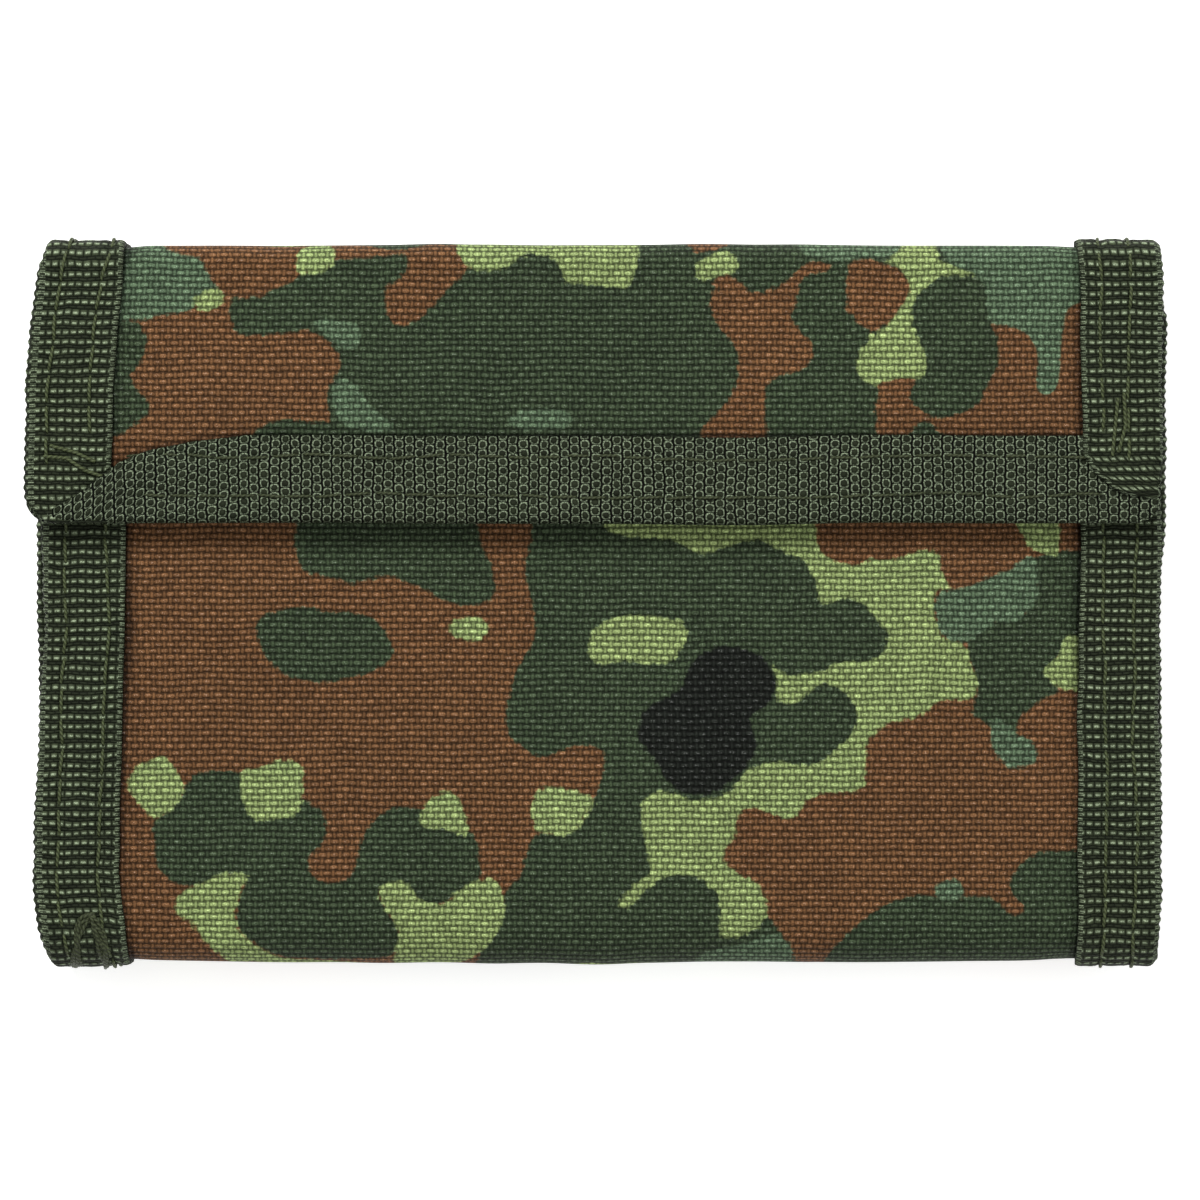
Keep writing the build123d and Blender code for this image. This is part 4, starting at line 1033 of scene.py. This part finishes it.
# ------------------------------------------------------------------ binding of the flap's free edge
def flap_edge():
    s_at = S_END - 4.0
    xl, xr = -float(edge_x(np.array([s_at]), -1)[0]), float(edge_x(np.array([s_at]), 1)[0])
    n = int((xr - xl) / 0.22)
    xs = np.linspace(xl + 0.25, xr - 0.25, n)
    rings, uvs = [], []
    for x in xs:
        end = min(x - xl, xr - x)
        leg = LEG + 0.2
        if x - xl < 26.0:
            leg = float(edge_leg(x - xl))
        inset = 0.0
        if end < 3.2:
            inset = 3.2 - math.sqrt(max(0.0, 3.2**2 - (3.2 - end) ** 2))
            leg = max(0.2, leg - inset)
        wave = 0.22 * noise(np.array([x / 16.0]), np.array([0.0]), 60)[0] * min(1.0, end / 8.0)
        left_lift = 0.70 * math.exp(-(((x - (xl + 9.0)) / 5.5) ** 2)) + 0.25 * math.exp(-((x - xl) / 6.0))
        sunk = 0.40 * float(smooth((12.5 - (xr - x)) / 3.0))
        sec, n_out = section(0, leg, 1.65)
        across = np.r_[0, np.cumsum(np.linalg.norm(np.diff(sec, axis=0), axis=1))]
        k = np.arange(len(sec))
        rib = np.where(k < n_out, 0.075 * math.cos(2 * math.pi * x / 1.17) * np.cos(math.pi * across / 2.1), 0)
        groove = sum(-0.16 * np.exp(-((sec[:, 0] - g) / 0.45) ** 2) for g in (3.1, 7.5)) if leg > 8 else 0
        puff = 0.12 * noise(np.full(len(sec), x / 7.0), sec[:, 0] / 4.0, 61)
        top, bottom = sec[:, 1] > T - 0.5, sec[:, 1] < -1.15
        lift = np.where(k < n_out, rib + groove + puff + left_lift * smooth(sec[:, 0] / 6.0), 0)
        dd = sec[:, 1] + np.where(top, lift, 0) - np.where(bottom & (k < n_out), rib, 0)
        y = FLAP_LOW + inset + wave + sec[:, 0]
        z = 16.0 + dd + 0.08 - np.where(top, sunk, 0.0)
        rings.append(np.stack([np.full(len(sec), x), y, z], -1))
        uvs.append(np.stack([np.r_[across, across[-1] + leg], np.full(len(sec) + 1, x)], -1))
    o = grid_mesh("binding_flap_edge", np.array(rings), np.array(uvs), closed_u=True, caps=True, material=M_EDGE)
    outward(o)
    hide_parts("flap_edge_tape")
    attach(o, "flap")


flap_edge()


# ------------------------------------------------------------------ sewing
def stitch_row(points_at, total, pitch, lift, seed, radius=0.2):
    """Stitches along a line: points_at(t) gives (position, outward direction) at distance t, both n x 3 in mm."""
    rng = np.random.default_rng(seed)
    out, t = [], 0.5
    while t + pitch < total:
        length = pitch * rng.uniform(0.84, 0.93)
        q = np.linspace(0, 1, 9)
        p, n = points_at(t + q * length)
        arch = np.sin(q * math.pi) ** 0.6
        side = rng.uniform(-0.12, 0.12)
        across = np.cross(np.gradient(p, axis=0), n)
        across /= np.linalg.norm(across, axis=1)[:, None] + 1e-9
        p = p + n * (lift * arch - 0.22 * (1 - arch))[:, None] + across * ((q - 0.5) * side * 2)[:, None]
        r = radius * (0.75 + 0.25 * arch)
        out.append(tube(p, r))
        t += pitch
    return out


def strip_stitches(region, side, nodes=()):
    s0, s1 = REGIONS[region][:2]
    s0 += 1.0 if region == "front" else 0.0
    rows = []
    for j, g in enumerate(stitch_out(region, side)):
        stop = s1 - (g + 0.5 if region == "flap" else 0.0)
        phase = 0.07 * (j + 1)

        def outer(t, g=g, phase=phase):
            s = s0 + np.asarray(t)
            wig = 0.35 * noise(s / 9.0, s * 0 + g, 70 + side)
            x = side * (edge_x(s, side) - g + wig)
            y, z = at(s, T - 0.06)
            ny, nz = np.interp(s, SEG, NORMAL[:, 0]), np.interp(s, SEG, NORMAL[:, 1])
            return np.stack([x, y, z], -1), np.stack([0 * x, ny, nz], -1)

        def inner(t, g=g):
            s = s0 + np.asarray(t)
            x = side * (edge_x(s, side) - g)
            y, z = at(s, -depth(s) + 0.06)
            ny, nz = np.interp(s, SEG, NORMAL[:, 0]), np.interp(s, SEG, NORMAL[:, 1])
            return np.stack([x, y, z], -1), -np.stack([0 * x, ny, nz], -1)

        rows += stitch_row(outer, stop - s0, 3.45, 0.16, 100 + j + 10 * side)
        rows += stitch_row(inner, stop - s0, 3.45, 0.14, 200 + j + 10 * side)
    o = join_verts("stitches_%s_%s" % (region, "left" if side < 0 else "right"), rows, M_THREAD)
    bind(o, region)


for region in REGIONS:
    for side in (-1, 1):
        strip_stitches(region, side)

back_lining_mouth()


def flap_edge_stitches():
    rows = []
    for j, (dy, x0, x1) in enumerate(((3.1, -58.5, 57.5), (7.5, -53.5, 56.0))):
        def line(t, dy=dy, x0=x0):
            x = x0 + np.asarray(t)
            y = FLAP_LOW + dy + 0.35 * noise(x / 8.0, x * 0 + dy, 80) + 0.22 * noise(x / 16.0, x * 0, 60)
            z = np.full_like(x, 16.0 + T + 0.02)
            return np.stack([x, y, z], -1), np.stack([0 * x, 0 * x, 0 * x + 1], -1)

        def under(t, dy=dy, x0=x0):
            x = x0 + np.asarray(t)
            y = np.full_like(x, FLAP_LOW + dy)
            z = np.full_like(x, 16.0 - 1.65 + 0.12)
            return np.stack([x, y, z], -1), np.stack([0 * x, 0 * x, 0 * x - 1], -1)

        rows += stitch_row(line, x1 - x0, 3.3, 0.08, 300 + j, radius=0.17)
        rows += stitch_row(under, x1 - x0, 3.3, 0.12, 310 + j)
    o = join_verts("stitches_flap_edge", rows, M_THREAD_SHADED)
    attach(o, "flap")


flap_edge_stitches()


# ------------------------------------------------------------------ flat inner layers
def level(y, z_far, z_near, y_low=-38.4, y_high=1e3, run=6.0):
    """Height of a pocket layer: at its own level in the middle, pressed towards the lining at the ends."""
    w = smooth((y - y_low) / run) * smooth((y_high - y) / run)
    return z_near + (z_far - z_near) * w


def sheet(name, x0, x1, y0, y1, zf, thick, body, material, nodes, holes=None, seed=0, amp=0.08, cell=1.0, up=1):
    nx, ny = int((x1 - x0) / cell) + 2, int((y1 - y0) / cell) + 2
    X, Y = np.meshgrid(np.linspace(x0, x1, nx), np.linspace(y0, y1, ny))
    Z = zf(X, Y) + amp * (noise(X / 15.0, Y / 12.0, seed) + 0.4 * noise(X / 5.0, Y / 4.0, seed + 1))
    o = grid_mesh(name, np.stack([X, Y, Z], -1), np.stack([X, Y], -1), material=material)
    if holes:
        import bmesh

        bm = bmesh.new()
        bm.from_mesh(o.data)
        dead = [f for f in bm.faces if holes(f.calc_center_median() / MM)]
        bmesh.ops.delete(bm, geom=dead, context="FACES")
        bm.to_mesh(o.data)
        bm.free()
    sol = o.modifiers.new("thickness", "SOLIDIFY")
    sol.thickness = thick * MM
    sol.offset = up
    if nodes:
        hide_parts(*nodes)
    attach(o, body)
    return o


LIN_BACK = 2.2
HALF_IN = 57.5
sheet("pocket_rear", -HALF_IN, HALF_IN, -38.2, 26.0, lambda x, y: level(y, 3.0, LIN_BACK), 0.3, "back", M_POCKET, ["card_pocket_rear"], seed=90)
sheet("pocket_front", -HALF_IN, HALF_IN, -38.2, 19.0, lambda x, y: level(y, 4.1, LIN_BACK + 0.35), 0.3, "back", M_POCKET, ["card_pocket_front"], seed=92)


def in_window(c):
    dx, dy = abs(c[0]) - 42.0 + 3, abs(c[1] + 12.65) - 19.0 + 3
    return (dx < 0 and dy < 3) or (dy < 0 and dx < 3) or (dx >= 0 and dy >= 0 and math.hypot(dx, dy) < 3)


sheet("window_frame", -HALF_IN, HALF_IN, -38.2, 12.0, lambda x, y: level(y, 5.42, LIN_BACK + 0.7), 0.3, "back", M_POCKET,
      ["id_window_frame", "card_pocket_bottom_hem"], holes=in_window, seed=94, amp=0.03, cell=0.5)


def hem_band(name, x0, x1, y_top, width, zf, body, seed, sign=1.0, nodes=(), material=None):
    """A turned hem: a soft, slightly raised band along a layer's mouth, with a row of stitches."""
    n = int((x1 - x0) / 1.0)
    xs = np.linspace(x0, x1, n)
    q = np.linspace(0, 1, 9)
    rings, uvs = [], []
    for x in xs:
        upper = [(y_top + 0.12 - width * t, 0.30 + 0.10 * math.sin(math.pi * t) - 0.12 * (abs(t - 0.5) * 2) ** 4) for t in q]
        lower = [(y_top + 0.12 - width * t, -0.05) for t in q[::-1]]
        loop = np.array(upper + lower)
        zz = zf(x, loop[:, 0]) + sign * loop[:, 1] + 0.04 * noise(np.full(len(loop), x / 6.0), loop[:, 0] / 3.0, seed)
        rings.append(np.stack([np.full(len(loop), x), loop[:, 0], zz], -1))
        uvs.append(np.stack([np.r_[loop[:, 0], loop[0, 0]], np.full(len(loop) + 1, x)], -1))
    o = grid_mesh(name, np.array(rings), np.array(uvs), closed_u=True, caps=True, material=material or M_POCKET)
    outward(o)
    if nodes:
        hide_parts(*nodes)
    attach(o, body)

    def line(t):
        x = x0 + 1 + np.asarray(t)
        y = np.full_like(x, y_top - width + 0.7)
        z = zf(x, y) + sign * 0.36
        return np.stack([x, y, z], -1), np.stack([0 * x, 0 * x, 0 * x + sign], -1)

    st = join_verts("stitches_" + name, stitch_row(line, x1 - x0 - 2, 2.9, 0.10, seed + 1, radius=0.14), M_THREAD_IN)
    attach(st, body)


sheet("window_film", -46.5, 46.5, -35.6, 11.0, lambda x, y: level(y, 5.20, LIN_BACK + 0.5), 0.15, "back", M_FILM, ["id_window_film"], seed=95, amp=0.03)
hem_band("hem_pocket_rear", -HALF_IN, HALF_IN, 26.0, 4.0, lambda x, y: level(y, 3.3, LIN_BACK + 0.3), "back", 400)
hem_band("hem_pocket_front", -HALF_IN, HALF_IN, 19.0, 4.0, lambda x, y: level(y, 4.4, LIN_BACK + 0.6), "back", 410)
hem_band("hem_window_frame", -HALF_IN, HALF_IN, 12.0, 4.4, lambda x, y: level(y, 5.72, LIN_BACK + 1.0), "back", 420)


def loop_stitches(name, path, body, seed, z, sign):
    p = np.array(path, float)
    seg = np.r_[0, np.cumsum(np.linalg.norm(np.diff(p, axis=0), axis=1))]

    def line(t):
        x, y = np.interp(t, seg, p[:, 0]), np.interp(t, seg, p[:, 1])
        zz = z(x, y) if callable(z) else np.full_like(x, z)
        return np.stack([x, y, zz], -1), np.stack([0 * x, 0 * x, 0 * x + sign], -1)

    st = join_verts(name, stitch_row(line, seg[-1], 2.9, 0.10, seed, radius=0.14), M_THREAD_IN)
    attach(st, body)


loop_stitches("stitches_window", [(-44.2, 8.0), (-44.2, -34.0), (44.2, -34.0), (44.2, 8.0)], "back", 430, lambda x, y: level(y, 5.78, LIN_BACK + 1.05), 1)

# front panel's inner face: coin pocket, its hem line and the zipper's cloth
Z_IN = 11.6


def front_level(y, z_out, z_lin):
    return level(y, z_out, z_lin)


sheet("coin_face", -HALF_IN, HALF_IN, -38.2, 27.6, lambda x, y: front_level(y, 9.25 - 0.25 * np.exp(-((x / 40.0) ** 2 + ((y + 4) / 22.0) ** 2)), Z_IN - 0.5), 0.35, "front",
      M_POCKET, ["coin_pocket_face", "coin_pocket_bottom_hem"], seed=96, amp=0.14, up=0)
sheet("front_turned_edge", -HALF_IN, HALF_IN, 32.4, 36.5, lambda x, y: 9.25 + 0 * x, 0.35, "front", M_POCKET, [], seed=98, amp=0.03, up=0)
sheet("zip_cloth_lower", -54.5, 54.5, 24.6, 29.55, lambda x, y: 9.62 + 0 * x, 0.28, "front", M_ZIPTAPE, ["zipper_tape_lower"], seed=99, amp=0.02, up=0)
sheet("zip_cloth_upper", -54.5, 54.5, 30.45, 35.6, lambda x, y: 9.62 + 0 * x, 0.28, "front", M_ZIPTAPE, ["zipper_tape_upper"], seed=101, amp=0.02, up=0)
loop_stitches("stitches_zip_lower", [(-54.0, 26.6), (54.0, 26.6)], "front", 440, 9.0, -1)
loop_stitches("stitches_zip_upper", [(-54.0, 33.4), (54.0, 33.4)], "front", 441, 9.03, -1)


def front_edge():
    """Outer cloth turned in over the front panel's free edge."""
    xs = np.linspace(-54.6, 54.6, 180)
    prof = [(33.6, 13.1), (34.8, 13.16), (35.9, 13.12), (36.5, 12.8), (36.75, 12.2), (36.75, 10.4), (36.5, 9.5), (35.9, 9.06), (34.6, 9.02), (33.4, 9.05),
            (33.4, 9.3), (35.6, 9.35), (36.1, 9.9), (36.2, 12.2), (35.8, 12.7), (33.6, 12.9)]
    prof = np.array(prof)
    length = np.r_[0, np.cumsum(np.linalg.norm(np.diff(prof, axis=0), axis=1))]
    rings, uvs, attr_x, attr_s = [], [], [], []
    for x in xs:
        n = 0.06 * noise(np.full(len(prof), x / 9.0), prof[:, 1] / 3.0, 111)
        rings.append(np.stack([np.full(len(prof), x), prof[:, 0] + n, prof[:, 1]], -1))
        uvs.append(np.stack([np.full(len(prof) + 1, x), np.r_[3.0 - length, 3.0 - length[-1] - 0.2]], -1))
        attr_x.append(np.full(len(prof), x))
        attr_s.append(3.0 - length)
    o = grid_mesh("front_edge_turn", np.array(rings), np.array(uvs), closed_u=True, caps=True, attrs=print_fields(np.array(attr_x), np.array(attr_s)), material=M_CLOTH)
    outward(o)
    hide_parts("front_edge_hem")
    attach(o, "front")
    loop_stitches("stitches_front_edge", [(-54.0, 34.6), (54.0, 34.6)], "front", 442, 13.14, 1)


front_edge()


# ------------------------------------------------------------------ hook and loop strips
def pile_pad():
    nx, ny = 300, 56
    X, Y = np.meshgrid(np.linspace(-45, 45, nx), np.linspace(19, 35, ny))
    edge = np.minimum(np.minimum(X + 45, 45 - X), np.minimum(Y - 19, 35 - Y))
    Z = 13.02 + 0.62 * smooth(edge / 0.9) + 0.09 * noise(X * 2.1, Y * 2.1, 120) * smooth(edge / 1.2) + 0.06 * noise(X / 4.0, Y / 4.0, 121)
    o = grid_mesh("loop_pad", np.stack([X, Y, Z], -1), np.stack([X, Y], -1), material=M_LOOP)
    sol = o.modifiers.new("thickness", "SOLIDIFY")
    sol.thickness, sol.offset = 0.3 * MM, -1
    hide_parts("loop_strip")
    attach(o, "front")
    rng = np.random.default_rng(5)
    rows = []
    for _ in range(420):
        x, y = rng.uniform(-44, 44), rng.uniform(20, 34)
        a, r = rng.uniform(0, math.pi), rng.uniform(0.25, 0.5)
        q = np.linspace(0, math.pi, 7)
        p = np.stack([x + r * np.cos(q) * math.cos(a), y + r * np.cos(q) * math.sin(a), 13.58 + 0.16 * np.sin(q)], -1)
        rows.append(tube(p, 0.045, 4))
    st = join_verts("loop_fibres", rows, M_LOOP)
    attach(st, "front")
    loop_stitches("stitches_loop_pad", [(-44, 20.0), (-44, 34.0), (44, 34.0), (44, 20.0), (-43.6, 20.0)], "front", 443, 13.62, 1)


def hook_pad():
    o = sheet("hook_pad", -45, 45, 21.2, 36.8, lambda x, y: 15.0 + 0 * x, 0.3, "flap", M_HOOKBASE, ["hook_strip"], seed=130, amp=0.02, up=0)
    rows = []
    rng = np.random.default_rng(9)
    for i in range(58):
        for j in range(10):
            x, y = -43.3 + i * 1.52, 22.6 + j * 1.42 + (0.3 if i % 2 else 0.0)
            q = np.linspace(0, 1, 7)
            lean = 0.42 * (1 if i % 2 else -1)
            px = x + lean * np.sin(q * 2.6) * 0.9
            pz = 14.9 - 0.95 * np.sin(np.minimum(q * 1.9, 1.57)) + 0.30 * smooth((q - 0.62) / 0.38)
            p = np.stack([px, np.full(7, y + rng.uniform(-0.06, 0.06)), pz], -1)
            rows.append(tube(p, 0.11 * (1 - 0.3 * q), 5))
    st = join_verts("hooks", rows, M_HOOK)
    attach(st, "flap")
    loop_stitches("stitches_hook_pad", [(-44.2, 22.0), (-44.2, 36.0), (44.2, 36.0), (44.2, 22.0), (-44.0, 22.0)], "flap", 444, 14.84, -1)


pile_pad()
hook_pad()


# ------------------------------------------------------------------ zipper
def teeth():
    for row, s in (("lower", -1), ("upper", 1)):
        rows = []
        n = 60
        for i in range(n):
            x = -44.3 + i * 1.5 + (0.75 if s > 0 else 0.0)
            if x > 44.6:
                continue
            q = np.linspace(0, 1, 10)
            a = -0.2 + q * (2 * math.pi - 0.6)
            cy = 30.0 + s * 1.15
            p = np.stack([x + 0.55 * (q - 0.5), cy - s * 0.95 * np.cos(a) * 1.0, 8.92 - 0.38 * np.sin(a)], -1)
            rows.append(tube(p, 0.19, 6))
            head = np.stack([np.full(5, x + 0.02), cy - s * (0.72 + 0.42 * np.linspace(0, 1, 5)), np.full(5, 8.80)], -1)
            rows.append(tube(head, np.array([0.18, 0.26, 0.3, 0.28, 0.12]), 7))
        cord = np.stack([np.linspace(-45, 45, 60), np.full(60, 30.0 + s * 1.7), np.full(60, 8.95)], -1)
        rows.append(tube(cord, 0.3, 7))
        o = join_verts("zip_teeth_" + row, rows, M_TEETH)
        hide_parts("zipper_coil_" + row)
        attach(o, "front")


teeth()
for n, m in (("slider_body", M_SLIDER), ("pull_tab", M_SLIDER), ("zipper_stop_left", M_STOP), ("zipper_stop_right", M_STOP)):
    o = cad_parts[n]
    o.data.materials.clear()
    o.data.materials.append(m)
    if n in ("slider_body", "pull_tab", "zipper_stop_left", "zipper_stop_right"):
        bev = o.modifiers.new("worn_edges", "BEVEL")
        bev.width, bev.segments, bev.limit_method, bev.angle_limit = 0.12 * MM, 2, "ANGLE", math.radians(40)

# ------------------------------------------------------------------ loose thread ends
def thread_ends():
    rows = []
    rng = np.random.default_rng(3)

    for j in range(7):
        arch = np.array([(-59.1, -40.4), (-58.9, -38.0), (-58.3, -35.8), (-57.3, -35.2), (-56.5, -36.4), (-56.0, -38.4), (-55.8, -40.4)])
        arch = arch + np.array([rng.uniform(-0.35, 0.35), rng.uniform(-0.7, 0.4)])
        q = np.linspace(0, len(arch) - 1, 36)
        x, y = np.interp(q, range(len(arch)), arch[:, 0]), np.interp(q, range(len(arch)), arch[:, 1])
        x = x + 0.28 * np.sin(q * 2.6 + j * 2.1)
        yy, zz = at(s_front(y), T + 0.05 + 0.16 * np.sin(q * 2.3 + j * 1.3))
        rows.append(tube(np.stack([x, yy, zz], -1), 0.22, 6))
    o = join_verts("thread_ends_front", rows, M_THREAD_SHADED)
    bind(o, "front")
    rows = []

    def back_and_forth(pts, z):
        p = np.array([(a, b, z) for a, b in pts], float)
        t = np.linspace(0, len(p) - 1, 8 * len(p))
        i = np.clip(t.astype(int), 0, len(p) - 2)
        f = smooth(t - i)[:, None]
        q = p[i] * (1 - f) + p[i + 1] * f
        q[:, 2] += 0.08 * np.sin(t * 5)
        rows.append(tube(q, 0.21, 6))

    back_and_forth([(59.6, 23.6), (59.8, 20.0), (59.0, 17.0)], 16.95)
    back_and_forth([(58.9, 23.0), (58.6, 19.5), (58.3, 16.6)], 16.95)
    back_and_forth([(-62.3, 16.5), (-59.8, 16.3), (-57.7, 14.9), (-55.4, 14.1)], 16.9)
    back_and_forth([(-61.6, 17.7), (-58.7, 16.9), (-56.6, 15.9)], 16.85)
    o = join_verts("thread_ends_flap", rows, M_THREAD)
    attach(o, "flap")


thread_ends()

# ------------------------------------------------------------------ stage, light, camera
scene = bpy.context.scene
scene.view_settings.view_transform = "Standard"
floor = bpy.data.meshes.new("floor")
w = 3.0
floor.from_pydata([(-w, -w, -0.0012), (w, -w, -0.0012), (w, w, -0.0012), (-w, w, -0.0012)], [], [(0, 1, 2, 3)])
floor_o = bpy.data.objects.new("floor", floor)
scene.collection.objects.link(floor_o)
fm = bpy.data.materials.new("floor_pale")
fm.use_nodes = True
fb = next(n for n in fm.node_tree.nodes if n.type == "BSDF_PRINCIPLED")
fb.inputs["Base Color"].default_value = (0.86, 0.86, 0.85, 1)
fb.inputs["Roughness"].default_value = 0.9
fb.inputs["Specular IOR Level"].default_value = 0.1
fb.inputs["Emission Color"].default_value = (1, 1, 1, 1)
fb.inputs["Emission Strength"].default_value = 0.5
floor.materials.append(fm)

world = bpy.data.worlds.new("studio")
scene.world = world
world.use_nodes = True
world.node_tree.nodes["Background"].inputs[0].default_value = (1, 1, 1, 1)
wn = world.node_tree
path = wn.nodes.new("ShaderNodeLightPath")
seen = wn.nodes.new("ShaderNodeMapRange")
seen.inputs[3].default_value, seen.inputs[4].default_value = 0.55, 1.0
wn.links.new(path.outputs["Is Camera Ray"], seen.inputs[0])
wn.links.new(seen.outputs[0], wn.nodes["Background"].inputs[1])


def area(name, loc, power, size):
    data = bpy.data.lights.new(name, "AREA")
    data.energy, data.size = power, size
    o = bpy.data.objects.new(name, data)
    o.location = loc
    o.rotation_mode = "QUATERNION"
    o.rotation_quaternion = (Vector((0, 0, 0.01)) - Vector(loc)).to_track_quat("-Z", "Y")
    scene.collection.objects.link(o)


area("key", (-0.2, 0.5, 0.58), 7.0, 0.3)
area("fill", (0.5, -0.1, 0.6), 2.2, 0.6)

cam = bpy.data.cameras.new("camera")
cam.lens, cam.sensor_width = 180, 36
cam_o = bpy.data.objects.new("camera", cam)
cam_o.location = (0.00045, 0.00028, 0.0138 + 0.1361 * 180 / 36)
cam.clip_start, cam.clip_end = 0.01, 20
scene.collection.objects.link(cam_o)
scene.camera = cam_o
